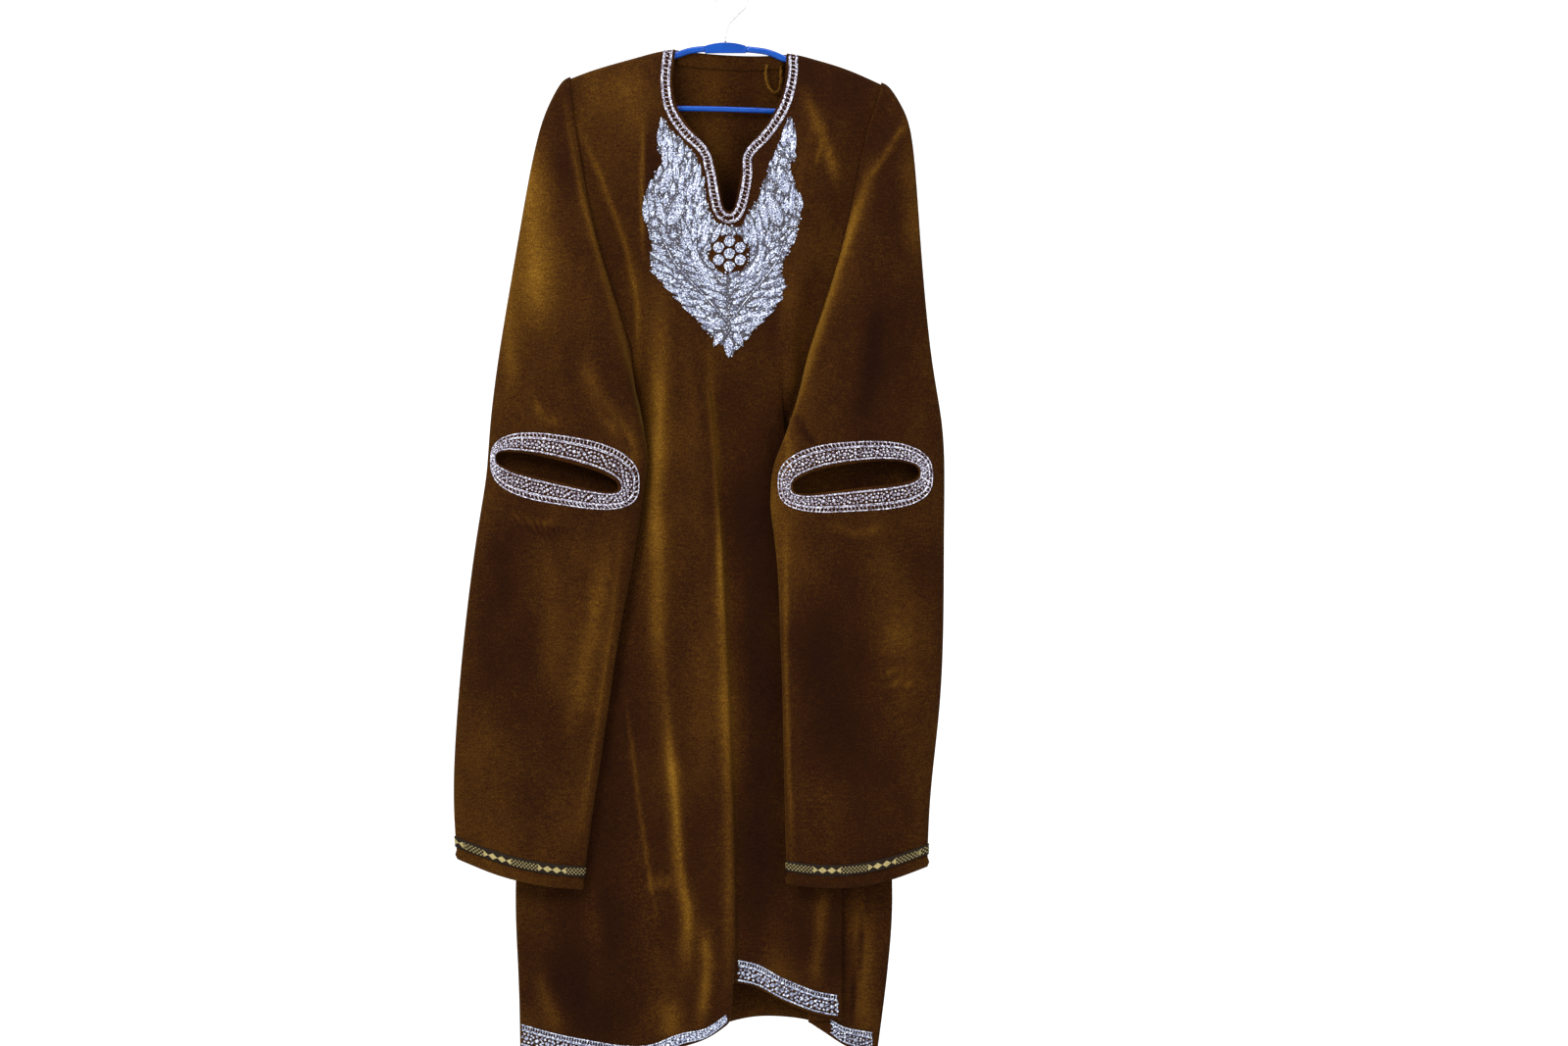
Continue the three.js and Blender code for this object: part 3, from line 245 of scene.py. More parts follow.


# ---------- strokes of the brushed pile, with painted highlights and painted shade ---

# Where the pile is brushed light or dark, where highlights along fold ridges and shade in valleys and creases
# are painted,
# and where the cloth rises a little: half width, pile tone and painted light and shade (+ light, - dark),
# rise in mm towards the viewer, and x z after x z of a path down the cloth.
BODY_STROKES = [
    (11, 0.33, 1.5, -86, -375, -84, -490, -90, -630, -87, -700, -88, -780, -82, -880),
    (8.5, 0.44, 2.0, -82, -880, -70, -945, -66, -1017, -64, -1066, -52, -1117, -54, -1200),
    (4, 0.14, 0.6, -84, -780, -78, -860, -71, -942, -61, -1040, -53, -1118, -50, -1182),
    (7, 0.30, 1.5, -104, -1088, -84, -1082, -66, -1086),
    (5, 0.34, 1.0, -27, -440, -25, -490, -18, -571, -13, -680, -12, -760),
    (8, 0.30, 1.5, -14, -640, -12, -710, -7, -830, -3, -960, -1, -1060, -4, -1220),
    (22, -0.20, 0.0, 24, -560, 28, -720, 34, -900, 36, -1100, 30, -1190),
    (8, 0.42, 2.0, -33, -1135, -28, -1180, -31, -1222, -38, -1262),
    (14, 0.28, 0.5, -70, -1220, -72, -1275),
    (11, 0.28, 2.0, -232, -1185, -226, -1215, -212, -1245, -205, -1270),
    (2.5, 0.30, 0.8, -127, -858, -118, -930, -110, -997, -94, -1101, -88, -1130),
    (12, 0.16, 0.5, -170, -1090, -160, -1160, -164, -1240),
    (16, 0.14, 1.0, 52, -1110, 56, -1180, 66, -1215),
    (9, 0.36, 1.5, 113, -1085, 108, -1140, 101, -1212),
    (14, 0.30, 0.5, 152, -1095, 160, -1170, 158, -1270),
    (3, -0.30, -1.0, 165, -1095, 152, -1190, 141, -1260),
    (7, 0.34, 1.5, 84, -118, 96, -150, 110, -184, 132, -250),
    (2.5, 0.30, 1.2, 94, -220, 106, -211, 121, -204),
    (2.5, 0.26, 1.0, 98, -206, 110, -199, 119, -196),
    (26, 0.10, 0.0, -190, -128, -150, -122, -110, -140),
    (34, -0.06, 0.0, 60, -100, 110, -112, 180, -135),
    (42, -0.22, 0.0, -235, -1180, -180, -1230, -110, -1260),
    (30, -0.10, 0.0, 40, -1120, 100, -1160, 160, -1190),
    (3, 0.36, 1.5, -106, -165, -107, -250, -106, -335),
    (10, -0.14, 0.0, -95, -150, -94, -250, -100, -340),
    (4, 0.26, 1.0, -190, -160, -158, -231, -127, -315, -113, -380, -112, -470),
    (16, 0.20, 0.5, 66, -330, 78, -420, 72, -520),
    (30, -0.12, 0.0, -130, -700, -140, -900, -150, -1250),
    (30, -0.10, 0.0, 30, -520, 45, -800, 50, -1050),
]
SLEEVE_LEFT_STROKES = [
    (22, 0.36, 1.5, -244, -180, -240, -260, -236, -340, -232, -430),
    (11, 0.20, 1.0, -262, -300, -270, -400, -262, -500),
    (14, -0.08, -1.0, -205, -190, -196, -280, -172, -380),
    (5, 0.30, 1.5, -203, -130, -178, -262, -143, -385, -110, -500, -103, -540),
    (12, 0.24, 1.0, -176, -450, -160, -500, -140, -535),
    (9, 0.26, 2.0, -150, -520, -122, -548, -110, -590),
    (4, -0.24, -1.5, -162, -508, -138, -530, -118, -570),
    (14, -0.14, 0.0, -290, -660, -276, -700, -270, -760),
    (14, 0.14, 0.8, -222, -660, -216, -740, -214, -830, -208, -880),
    (26, 0.10, 0.5, -296, -880, -290, -960, -276, -1030),
    (10, 0.16, 0.8, -150, -660, -158, -740, -176, -830, -196, -920),
    (3, 0.18, 0.8, -128, -640, -142, -760, -162, -900, -184, -1040),
    (40, -0.10, 0.0, -270, -640, -280, -760, -260, -860),
    (5, 0.22, 1.5, -238, -500, -226, -522, -202, -532),
    (4, -0.20, -1.0, -260, -650, -225, -662, -190, -658),
    (4, 0.22, 1.2, -268, -640, -240, -652, -206, -650),
]
SLEEVE_RIGHT_STROKES = [
    (9, 0.42, 2.0, 172, -215, 160, -255, 128, -335, 92, -450, 68, -530),
    (4, 0.34, 2.0, 216, -160, 200, -185, 182, -214, 166, -238),
    (16, 0.20, 0.5, 214, -190, 220, -260, 226, -340),
    (12, -0.22, -0.5, 176, -390, 168, -460, 156, -530),
    (6, 0.24, 2.0, 62, -532, 72, -560, 66, -600),
    (4, -0.26, -1.5, 76, -520, 96, -552, 104, -560),
    (26, 0.20, 0.5, 184, -670, 196, -730, 204, -820),
    (38, -0.11, 0.0, 205, -190, 200, -300, 190, -420, 180, -520),
    (38, -0.21, 0.0, 104, -700, 112, -840, 120, -980),
    (2.2, 0.30, 1.0, 166, -835, 184, -829, 212, -830),
    (2.2, 0.24, 1.0, 176, -845, 198, -842, 226, -846),
    (3, 0.26, 1.0, 66, -650, 66, -800, 70, -950, 76, -1070),
    (5, 0.20, 1.4, 118, -652, 150, -664, 186, -656),
]
BACK_STROKES = [
    (12, 0.22, 1.0, -100, -120, -104, -400, -90, -700, -130, -1240),
    (14, 0.24, 1.5, -20, -100, -24, -400, -10, -800, -40, -1250),
    (10, 0.26, 1.5, 50, -100, 60, -300, 48, -600, 80, -1250),
    (16, -0.16, 0.0, 10, -110, 8, -500, 20, -1240),
]


class Strokes:
    """Pile tone with painted highlights and painted shade, and rise, of a list of strokes at many places at
    once.
    """

    def __init__(self, rows):
        self.rows = [(width * MM, nap_and_painted_light, rise * MM, np.array(path, float).reshape(-1, 2) * MM)
                     for width, nap_and_painted_light, rise, *path in rows]

    def at(self, places):
        nap_and_painted_light = np.zeros(len(places))
        rise = np.zeros(len(places))
        for width, light, lift, path in self.rows:
            nearest = np.full(len(places), np.inf)
            total = np.linalg.norm(np.diff(path, axis=0), axis=1).sum()
            gone = 0.0
            fade = np.ones(len(places))
            for a, b in zip(path[:-1], path[1:]):
                span = np.linalg.norm(b - a)
                t = np.clip(((places - a) @ (b - a)) / span ** 2, 0, 1)
                away = np.linalg.norm(places - (a + t[:, None] * (b - a)), axis=1)
                share = (gone + t * span) / total
                closer = away < nearest
                nearest = np.where(closer, away, nearest)
                fade = np.where(closer, np.clip(np.minimum(share, 1 - share) * 4 + 0.15, 0, 1), fade)
                gone += span
            weight = np.exp(-(nearest / width) ** 2) * fade
            nap_and_painted_light += light * weight
            rise += lift * weight
        return nap_and_painted_light, rise


# ---------- velvet pieces, from the frame's own walls ----------

CREASE_ANGLE = math.radians(65)
THIN = 2.4 * MM
SUBDIVISIONS = 2


def thin(face):
    """A face of the cut edge: hardly wider than the cloth is thick."""
    longest = max(edge.calc_length() for edge in face.edges)
    return face.calc_area() / longest < THIN


def smooth_copy(node, split=None, all_sharp=False):
    """The node's surface as smooth quads. Cut edges stay sharp, and long faces are split."""
    mesh = bpy.data.meshes.new(node + "_smooth")
    work = bmesh.new()
    work.from_mesh(nodes[node].data)
    bmesh.ops.remove_doubles(work, verts=work.verts, dist=0.004 * MM)
    bmesh.ops.join_triangles(work, faces=work.faces, angle_face_threshold=0.7, angle_shape_threshold=1.4)
    crease = work.edges.layers.float.new("crease_edge")
    for edge in work.edges:
        if len(edge.link_faces) == 2 and edge.calc_face_angle(0) > CREASE_ANGLE:
            if all_sharp or any(thin(face) for face in edge.link_faces):
                edge[crease] = 1.0
    work.to_mesh(mesh)
    work.free()
    holder = bpy.data.objects.new(node + "_smooth", mesh)
    link(holder)
    subdivide = holder.modifiers.new("subdivide", "SUBSURF")
    subdivide.levels = subdivide.render_levels = SUBDIVISIONS
    subdivide.boundary_smooth = "PRESERVE_CORNERS"
    bpy.context.view_layer.update()
    made = bpy.data.meshes.new_from_object(holder.evaluated_get(bpy.context.evaluated_depsgraph_get()))
    bpy.data.objects.remove(holder)
    bpy.data.meshes.remove(mesh)
    if split:
        work = bmesh.new()
        work.from_mesh(made)
        long = [edge for edge in work.edges if edge.calc_length() > split]
        bmesh.ops.subdivide_edges(work, edges=long, cuts=1, use_grid_fill=True, smooth=1.0)
        work.to_mesh(made)
        work.free()
    return made


def wrinkle(x, z, seed):
    """Small unevenness of hanging cloth, in metres, longer down the cloth than across it."""
    broad = noise.noise(Vector((x * 14, seed, z * 5)))
    fine = noise.noise(Vector((x * 42, seed + 5, z * 17)))
    return broad * 1.1 * MM + fine * 0.35 * MM


PLAIN_NAP = 0.36              # of cloth that no stroke reaches

# x, z and the way out in mm where a side edge runs on under a sleeve, which covers it.
UNDERARMS = [(-112, -490, -6), (80, -484, 6)]


def under_sleeves(at):
    """How far out the panels' side edges run on under the sleeves, at rows of x y z."""
    out = np.zeros(len(at))
    for x, z, push in UNDERARMS:
        near = ((at[:, 0] / MM - x) / 14) ** 2 + ((at[:, 2] / MM - z) / 36) ** 2
        out += push * MM * np.exp(-near)
    return out


def front_share(mesh, tube):
    """How far each vertex belongs to the front layer, 0 to 1. A panel is all front."""
    if not tube:
        return np.ones(len(mesh.vertices))
    tree = BVHTree.FromPolygons([v.co for v in mesh.vertices], [p.vertices for p in mesh.polygons])
    share = np.empty(len(mesh.vertices))
    for i, vertex in enumerate(mesh.vertices):
        x, y, z = vertex.co
        near = tree.ray_cast(Vector((x, -1, z)), Vector((0, 1, 0)))[0]
        far = tree.ray_cast(Vector((x, 1, z)), Vector((0, -1, 0)))[0]
        low, high = (near.y, far.y) if near and far else (y, y)
        share[i] = smooth((high - y) / (high - low)) if high - low > 3 * WALL else 0.5
    return share


def velvet_piece(name, node, strokes, seed, side=FRONT, tube=False, split=None, waviness=1.0):
    """A velvet panel or sleeve: smoothed, wrinkled, and with the tone of its pile, painted highlights and
    painted shade as a vertex value.
    """
    mesh = smooth_copy(node, split)
    count = len(mesh.vertices)
    at = np.empty(count * 3)
    mesh.vertices.foreach_get("co", at)
    at = at.reshape(-1, 3)
    share = front_share(mesh, tube)
    if not tube:
        at[:, 0] += under_sleeves(at)
    # The strokes paint highlights along fold ridges and shade in valleys and creases, on top of the pile's
    # own tone.
    nap_and_painted_light, rise = Strokes(strokes).at(at[:, [0, 2]])
    waves = np.array([wrinkle(x, z, seed) for x, _, z in at]) * waviness
    at[:, 1] += side * (rise * share + waves * np.clip(share, 0.35, 1))
    mesh.vertices.foreach_set("co", at.ravel())
    mesh.update()
    normals = np.empty(count * 3)
    mesh.vertices.foreach_get("normal", normals)
    turned = normals[::3]     # how far the cloth faces right
    slow = np.array([noise.noise(Vector((x * 9, seed + 9, z * 4))) for x, _, z in at])
    # Painted light: lean makes cloth that faces left lighter, as if lit from that side.
    lean = np.clip(-turned * 0.10 + np.abs(turned) * 0.10, -0.2, 0.2)
    set_nap_and_painted_light(mesh, np.clip(PLAIN_NAP + nap_and_painted_light * share + slow * 0.12 + lean, 0.02, 1.0))
    smooth_faces(mesh)
    return place_piece(name, mesh, VELVET, [node])


# Stores the pile tone together with the painted highlights and painted shade.
def set_nap_and_painted_light(mesh, values):
    mesh.attributes.new("nap_and_painted_light", "FLOAT", "POINT").data.foreach_set("value", values)


def place_piece(name, mesh, material, replaced=()):
    mesh.materials.clear()
    mesh.materials.append(material)
    mesh.name = name
    piece = bpy.data.objects.new(name, mesh)
    link(piece)
    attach(piece, "root")
    if replaced:
        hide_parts(*replaced)
    return piece


front = velvet_piece("velvet_front", "front", BODY_STROKES, 1, split=14 * MM)
back = velvet_piece("velvet_back", "back", BACK_STROKES, 2, side=BACK, split=14 * MM)
sleeve_left = velvet_piece("velvet_sleeve_left", "sleeve_left", SLEEVE_LEFT_STROKES, 3, tube=True,
                           split=9 * MM)
sleeve_right = velvet_piece("velvet_sleeve_right", "sleeve_right", SLEEVE_RIGHT_STROKES, 4, tube=True,
                            split=9 * MM)
facing = velvet_piece("velvet_neck_facing", "back_neck_facing", [], 2, side=BACK, waviness=0.0)


class Cloth:
    """The face of velvet pieces, found along Y from the front or from the back."""

    def __init__(self, side, *objects):
        self.side = side
        verts, faces = [], []
        for obj in objects:
            start = len(verts)
            verts += [v.co.copy() for v in obj.data.vertices]
            faces += [[start + i for i in p.vertices] for p in obj.data.polygons]
        self.tree = BVHTree.FromPolygons(verts, faces)

    def at(self, x, z, lift=0.0):
        """(place, normal) on the face at x, z."""
        place, normal = self.tree.ray_cast(Vector((x, self.side, z)), Vector((0, -self.side, 0)))[:2]
        if place is None:
            place, normal = self.tree.find_nearest(Vector((x, self.side * 0.03, z)))[:2]
        if normal.y * self.side < 0:
            normal = -normal
        return place + normal * lift, normal


# ---------- threads ----------

WIDE_LEAF, FILL_PITCH = 11 * MM, 2.2 * MM


def leaf_spine(base, angle, length, bend, steps):
    """Places along a leaf, and the direction square to it at each."""
    spine, sides = [base], []
    for i in range(steps + 1):
        lean = angle + bend * (i / steps - 0.5)
        sides.append((-math.sin(lean), math.cos(lean)))
        if i < steps:
            x, z = spine[-1]
            spine.append((x + math.cos(lean) * length / steps, z + math.sin(lean) * length / steps))
    return spine, sides


def leaf_half(t, width):
    return width / 2 * math.sin(math.pi * min(1.0, t ** 0.75 * 0.98 + 0.02))


class Threads:
    """Collects cords, loops, knots and leaves laid on a cloth into one mesh."""

    def __init__(self, cloth):
        self.cloth, self.verts, self.faces = cloth, [], []

    def tube(self, places, radius, sides=5, flat=1.0, closed=False):
        """places are (point, normal) pairs."""
        start, count = len(self.verts), len(places)
        for i, (point, normal) in enumerate(places):
            ahead = places[(i + 1) % count][0] if closed or i + 1 < count else point
            behind = places[i - 1][0] if closed or i else point
            along = (ahead - behind).normalized()
            across = along.cross(normal).normalized()
            for k in range(sides):
                turn = math.tau * k / sides
                self.verts.append(point + across * (math.cos(turn) * radius)
                                  + normal * (math.sin(turn) * radius * flat))
        last = count if closed else count - 1
        for i in range(last):
            a, b = start + i * sides, start + ((i + 1) % count) * sides
            for k in range(sides):
                m = (k + 1) % sides
                self.faces.append((a + k, a + m, b + m, b + k))
        if not closed:
            end = start + (count - 1) * sides
            self.faces.append(tuple(start + k for k in reversed(range(sides))))
            self.faces.append(tuple(end + k for k in range(sides)))

    def cord(self, path, radius, lift=None, **shape):
        """A thread along x z places, in metres."""
        lift = radius * 0.8 if lift is None else lift
        self.tube([self.cloth.at(x, z, lift) for x, z in path], radius, **shape)

    def knot(self, x, z, radius, height):
        """A small round dome."""
        middle, normal = self.cloth.at(x, z)
        side = normal.cross(Vector((0, 0, 1))).normalized()
        up = side.cross(normal)
        start, sides = len(self.verts), 7
        for level, out in ((0.0, 1.0), (0.62, 0.78)):
            for k in range(sides):
                turn = math.tau * k / sides
                self.verts.append(middle + normal * (height * level)
                                  + (side * math.cos(turn) + up * math.sin(turn)) * (radius * out))
        self.verts.append(middle + normal * height)
        top = start + 2 * sides
        for k in range(sides):
            m = (k + 1) % sides
            self.faces.append((start + k, start + m, start + sides + m, start + sides + k))
            self.faces.append((start + sides + k, start + sides + m, top))

    def coil(self, x, z, radius, thread):
        """A round of cord coiled to its middle."""
        turns = max(1.5, radius / (thread * 1.9))
        steps = max(10, int(turns * 11))
        path = []
        for i in range(steps + 1):
            turn = math.tau * turns * i / steps
            out = lerp(radius, thread * 0.6, i / steps)
            path.append((x + math.cos(turn) * out, z + math.sin(turn) * out))
        self.cord(path, thread)

    def leaf(self, base, angle, length, width, bend=0.0):
        """A raised pointed leaf: a pad with a cord round it, a rib down a narrow one and knots
        all over a wide one."""
        steps = max(6, round(length / (4 * MM)))
        spine, sides = leaf_spine(base, angle, length, bend, steps)
        half = [leaf_half(i / steps, width) for i in range(steps + 1)]
        start, rows = len(self.verts), (-0.8, -0.4, 0.0, 0.4, 0.8)
        wide = len(rows)
        for (x, z), (sx, sz), h in zip(spine, sides, half):
            for v in rows:
                lift = (0.3 + 0.9 * (1 - v * v)) * MM
                self.verts.append(self.cloth.at(x + sx * h * v, z + sz * h * v, lift)[0])
        for i in range(steps):
            for k in range(wide - 1):
                a = start + i * wide + k
                self.faces.append((a, a + 1, a + wide + 1, a + wide))
        thread = min(0.65 * MM, width * 0.10)
        edge = [(x + sx * h, z + sz * h) for (x, z), (sx, sz), h in zip(spine, sides, half)]
        other = [(x - sx * h, z - sz * h) for (x, z), (sx, sz), h in zip(spine, sides, half)]
        self.cord(edge + other[-2:0:-1], thread, lift=0.9 * MM, closed=True, sides=4)
        if width < WIDE_LEAF:
            self.cord(spine[1:-1], thread * 0.8, lift=1.3 * MM, sides=4)
            return
        strip = Strip(spine)
        for row in range(1, int(length / FILL_PITCH)):
            s = row * FILL_PITCH
            room = leaf_half(s / length, width) * 0.86 - 0.9 * MM
            for n in range(-6, 7):
                v = (n + 0.5 * (row % 2)) * FILL_PITCH
                if abs(v) < room:
                    self.knot(*strip.place(s, v), 0.95 * MM, 2.3 * MM)

    def piece(self, name, material, slot, replaced=()):
        mesh = bpy.data.meshes.new(name)
        mesh.from_pydata([tuple(v) for v in self.verts], [], self.faces)
        mesh.validate()
        smooth_faces(mesh)
        return place_piece(name, mesh, material, replaced)


def curve_through(points, step):
    """Evenly spaced places on a smooth curve through x z points."""
    dense = []
    for i in range(len(points) - 1):
        near = neighbours(points, i)
        for n in range(12):
            dense.append(tuple(catmull(*(p[k] for p in near), n / 12) for k in (0, 1)))
    dense.append(points[-1])
    gone = [0.0]
    for a, b in zip(dense, dense[1:]):
        gone.append(gone[-1] + math.dist(a, b))
    count = max(2, round(gone[-1] / step))
    return [tuple(float(np.interp(gone[-1] * i / count, gone, column)) for column in zip(*dense))
            for i in range(count + 1)]


class Strip:
    """A band beside a line: place(s, v) is s metres along it and v metres to its left."""

    def __init__(self, line, closed=False):
        self.line, self.closed = line, closed
        path = line + [line[0]] if closed else line
        self.gone = [0.0]
        for a, b in zip(path, path[1:]):
            self.gone.append(self.gone[-1] + math.dist(a, b))
        self.length = self.gone[-1]
        left = []
        for i, here in enumerate(path):
            before = line[i - 1] if closed or i else here
            after = path[i + 1] if i + 1 < len(path) else (line[1] if closed else here)
            run = math.dist(before, after)
            left.append((-(after[1] - before[1]) / run, (after[0] - before[0]) / run))
        self.columns = [*zip(*path), *zip(*left)]    # x, z, and x and z of the way to the left

    def place(self, s, v):
        s = s % self.length if self.closed else min(max(s, 0.0), self.length)
        x, z, sx, sz = (float(np.interp(s, self.gone, column)) for column in self.columns)
        size = math.hypot(sx, sz) or 1.0
        return x + sx / size * v, z + sz / size * v

    def run(self, v, step=2.6 * MM, start=0.0, end=None):
        end = self.length if end is None else end
        count = max(2, round((end - start) / step))
        return [self.place(lerp(start, end, i / count), v) for i in range(count + (0 if self.closed else 1))]


def plait(threads, strip, middle, half, pitch, thread):
    """Two cords woven about a line: a chain with small dark holes."""
    count = max(2, round(strip.length / pitch))
    steps = count * 6
    for phase in (0.0, math.pi):
        path = [strip.place(strip.length * i / steps,
                            middle + half * math.sin(phase + math.pi * count * 2 * i / steps))
                for i in range(steps + (0 if strip.closed else 1))]
        threads.cord(path, thread, lift=thread * (1.0 if phase else 1.6), closed=strip.closed, sides=4)


def ladder(threads, strip, low, high, pitch, thread):
    """Two cords with rungs between them: small dark holes show through."""
    for v in (low, high):
        threads.cord(strip.run(v), thread * 1.15, closed=strip.closed)
    count = max(1, round(strip.length / pitch))
    for i in range(count):
        s = (i + 0.5) * strip.length / count
        path = [strip.place(s + lean * pitch * 0.14, lerp(low, high, (lean + 1) / 2)) for lean in (-1, 0, 1)]
        threads.cord(path, thread, sides=4)


def blossoms(threads, strip, middle, half, pitch):
    """Round blossoms in a row that fills 2 x half across, with knots and an arc between each two."""
    count = max(1, round(strip.length / pitch))
    for i in range(count):
        s = (i + 0.5) * strip.length / count
        x, z = strip.place(s, middle)
        threads.knot(x, z, half * 0.40, 2.6 * MM)
        for k in range(6):
            turn = math.tau * (k + 0.5 * (i % 2)) / 6
            x, z = strip.place(s + math.cos(turn) * half * 0.74, middle + math.sin(turn) * half * 0.74)
            threads.knot(x, z, half * 0.24, 1.7 * MM)
        for v in (-0.62, 0.62):
            x, z = strip.place(s + pitch / 2, middle + v * half)
            threads.knot(x, z, half * 0.24, 1.4 * MM)
        threads.cord([strip.place(s + pitch / 2, middle + v * half) for v in (-0.3, 0.0, 0.3)], 0.55 * MM)


RUNGS_HIGH, DOUBLE_CORD = 5.2 * MM, 6.6 * MM         # down from the far side
BLOSSOMS_DOWN, BLOSSOMS_UP = 7.4 * MM, 3.4 * MM      # from the far side and from the edge
BLOSSOM_PITCH = 13 * MM


def border(threads, strip, width, rungs):
    """The hem and slit border: rungs between two cords on the far side, a double cord, blossoms,
    and a plait along the near side. rungs is the pitch of the rungs."""
    top = width - 0.8 * MM
    ladder(threads, strip, top - RUNGS_HIGH, top, rungs, 0.7 * MM)
    threads.cord(strip.run(top - DOUBLE_CORD), 0.6 * MM, closed=strip.closed)
    low, high = BLOSSOMS_UP, top - BLOSSOMS_DOWN
    blossoms(threads, strip, (low + high) / 2, (high - low) / 2, BLOSSOM_PITCH)
    plait(threads, strip, 1.9 * MM, 0.75 * MM, 2.8 * MM, 0.6 * MM)


on_front = Cloth(FRONT, front)
on_back = Cloth(BACK, back)
on_left = Cloth(FRONT, sleeve_left)
on_right = Cloth(FRONT, sleeve_right)

# ---------- neck braid ----------

NECK_EDGE = mm([
    (-68, -82), (-71, -105), (-71, -128), (-66, -151), (-51, -174), (-27, -198), (-18, -224), (-12, -258),
    (-8, -272), (-2, -277), (3, -272), (8, -255), (12, -232), (14, -204), (38, -177), (57, -147),
    (66, -115), (67, -87),
])


def neck_braid():
    """Two plaited cords with a row of rungs between them, dark in its gaps."""
    threads = Threads(on_front)
    # The line runs down the left and up the right, so the cloth lies on its right.
    strip = Strip(curve_through(NECK_EDGE, 2 * MM))
    for v in (3.4, 12.2):
        plait(threads, strip, -v * MM, 0.75 * MM, 2.6 * MM, 0.6 * MM)
    ladder(threads, strip, -10.9 * MM, -4.8 * MM, 4.8 * MM, 0.6 * MM)
    return threads.piece("tilla_neck_braid", ROSE_SILVER, "tilla", ["neck_braid"])


braid = neck_braid()

# ---------- breast embroidery ----------

FIELD = mm([
    (-85, -163), (-88, -180), (-89, -204), (-80, -212), (-89, -224), (-98, -240), (-105, -262), (-103, -290),
    (-97, -308), (-98, -330), (-95, -349), (-83, -362), (-62, -385), (-41, -408), (-21, -430), (-7, -442),
    (-1, -452), (9, -441), (30, -417), (50, -395), (63, -376), (65, -360), (62, -345), (71, -323), (79, -306),
    (85, -277), (84, -258), (76, -238), (71, -222), (77, -213), (78, -195), (78, -176), (72, -161),
])
FIELD_NECK = mm([
    (-80, -163), (-74, -175), (-60, -189), (-47, -201), (-38, -218), (-32, -238), (-28, -265), (-20, -285),
    (-3, -292), (12, -293), (17, -282), (25, -268), (33, -257), (37, -241), (44, -226), (49, -210),
    (57, -194), (63, -176), (69, -161),
])
ROSETTE = (-2 * MM, -327 * MM)
COIN, COIN_APART = 7.0 * MM, 15.0 * MM
AXIS = -3 * MM                # the two halves of the embroidery mirror each other about this x
LEFT_REACH = 1.14             # and the left one is this much wider

# From the axis out to the edge on the right half: feathers grow out of it, florets lie above it.
STEM = [(2, -408), (20, -384), (40, -360), (58, -336), (68, -312)]

# Leaves of the right half, in mm: out from the axis and z of the base, degrees from straight out,
# length, width and bend in degrees. The left half mirrors them.
BIG_LEAVES = [
    (14, -353, 66, 56, 10, 104), (46, -320, 112, 48, 17.5, -14), (63, -292, 111, 45, 16.5, -18),
    (71, -254, 107, 36, 13.5, -10), (40, -348, 96, 34, 12, 20), (10, -384, 44, 34, 12, 16),
]
TIP_DROPS = [(0, -428, -90, 24, 10, 0), (7, -422, -58, 19, 8.5, 0)]
FLORETS = [(66, -216, 4.6), (50, -246, 4.0), (78, -290, 4.2), (58, -304, 4.2), (37, -366, 4.6),
           (22, -386, 4.0), (54, -334, 4.2), (8, -404, 3.6)]
FEATHER_PITCH, FEATHER_WIDTH = 8.4 * MM, 7.6 * MM
FEATHERS_BELOW = -346 * MM
FEATHER_LONGEST, ONE_FEATHER = 62 * MM, 44 * MM      # a longer row than this is two, end to end
TIP_FREE = 2.5 * MM           # how far a tip stands out past the outline
FILLING = [(38, 6.6, 2400, 0.10), (29, 6.4, 2400, 0.12), (20, 5.6, 3000, 0.18), (13, 4.6, 3600, 0.25),
           (8, 3.4, 4200, 0.3)]   # length, width, tries, spread of the angle
KNOT_TRIES = 9000


def inside(polygon, places):
    """Whether each place lies in the polygon. Both are rows of x z."""
    ahead = np.roll(polygon, -1, axis=0)
    z = places[:, None, 1]
    crosses = (polygon[:, 1] > z) != (ahead[:, 1] > z)
    slope = (ahead[:, 0] - polygon[:, 0]) / (ahead[:, 1] - polygon[:, 1] + 1e-12)
    left_of = places[:, None, 0] < polygon[:, 0] + slope * (z - polygon[:, 1])
    return (crosses & left_of).sum(axis=1) % 2 == 1


class Packing:
    """Keeps motifs apart: each takes up some discs, rows of x z radius."""

    def __init__(self, gap):
        self.gap, self.discs = gap, np.empty((0, 3))

    def free(self, discs):
        middle, reach = discs[:, :2].mean(axis=0), np.ptp(discs[:, :2], axis=0).max() + 22 * MM
        near = self.discs[(np.abs(self.discs[:, :2] - middle) < reach).all(axis=1)]
        apart = np.linalg.norm(near[:, None, :2] - discs[:, :2], axis=2)
        return not (apart < near[:, None, 2] + discs[:, 2] + self.gap).any()

    def take(self, discs):
        self.discs = np.vstack([self.discs, discs])


def leaf_discs(base, angle, length, width, bend=0.0):
    count = max(5, round(length / width * 3))
    spine = leaf_spine(base, angle, length, bend, count * 2)[0]
    return np.array([(*spine[2 * i + 1], leaf_half((i + 0.5) / count, width)) for i in range(count)])


def flow(x, z):
    """Which way the leaves point: out and a little up below the rosette, and above it up, leaning
    to the neck on the inner side."""
    side = 1 if x > AXIS else -1
    out = side * (x - AXIS) / MM
    z /= MM
    inner = lerp(22, 112, smooth((z + 350) / 38))
    outer = lerp(17, 88, smooth((z + 352) / 80))
    lean = math.radians(lerp(inner, outer, smooth((out - 30) / 38)))
    return lean if side > 0 else math.pi - lean


def mirrored(row, side):
    """A row of the leaf tables as base, angle, length, width and bend on one side."""
    out, z, degrees, length, width, bend = row
    reach = 1.0 if side > 0 else LEFT_REACH
    angle = math.radians(degrees if side > 0 else 180 - degrees)
    base = (AXIS + side * out * reach * MM, z * MM)
    return base, angle, length * MM, width * MM, math.radians(side * bend)


def on_side(points, side):
    """x z places, in metres, of a line given as out from the axis and z."""
    reach = 1.0 if side > 0 else LEFT_REACH
    return [(AXIS + side * out * reach * MM, z * MM) for out, z in points]


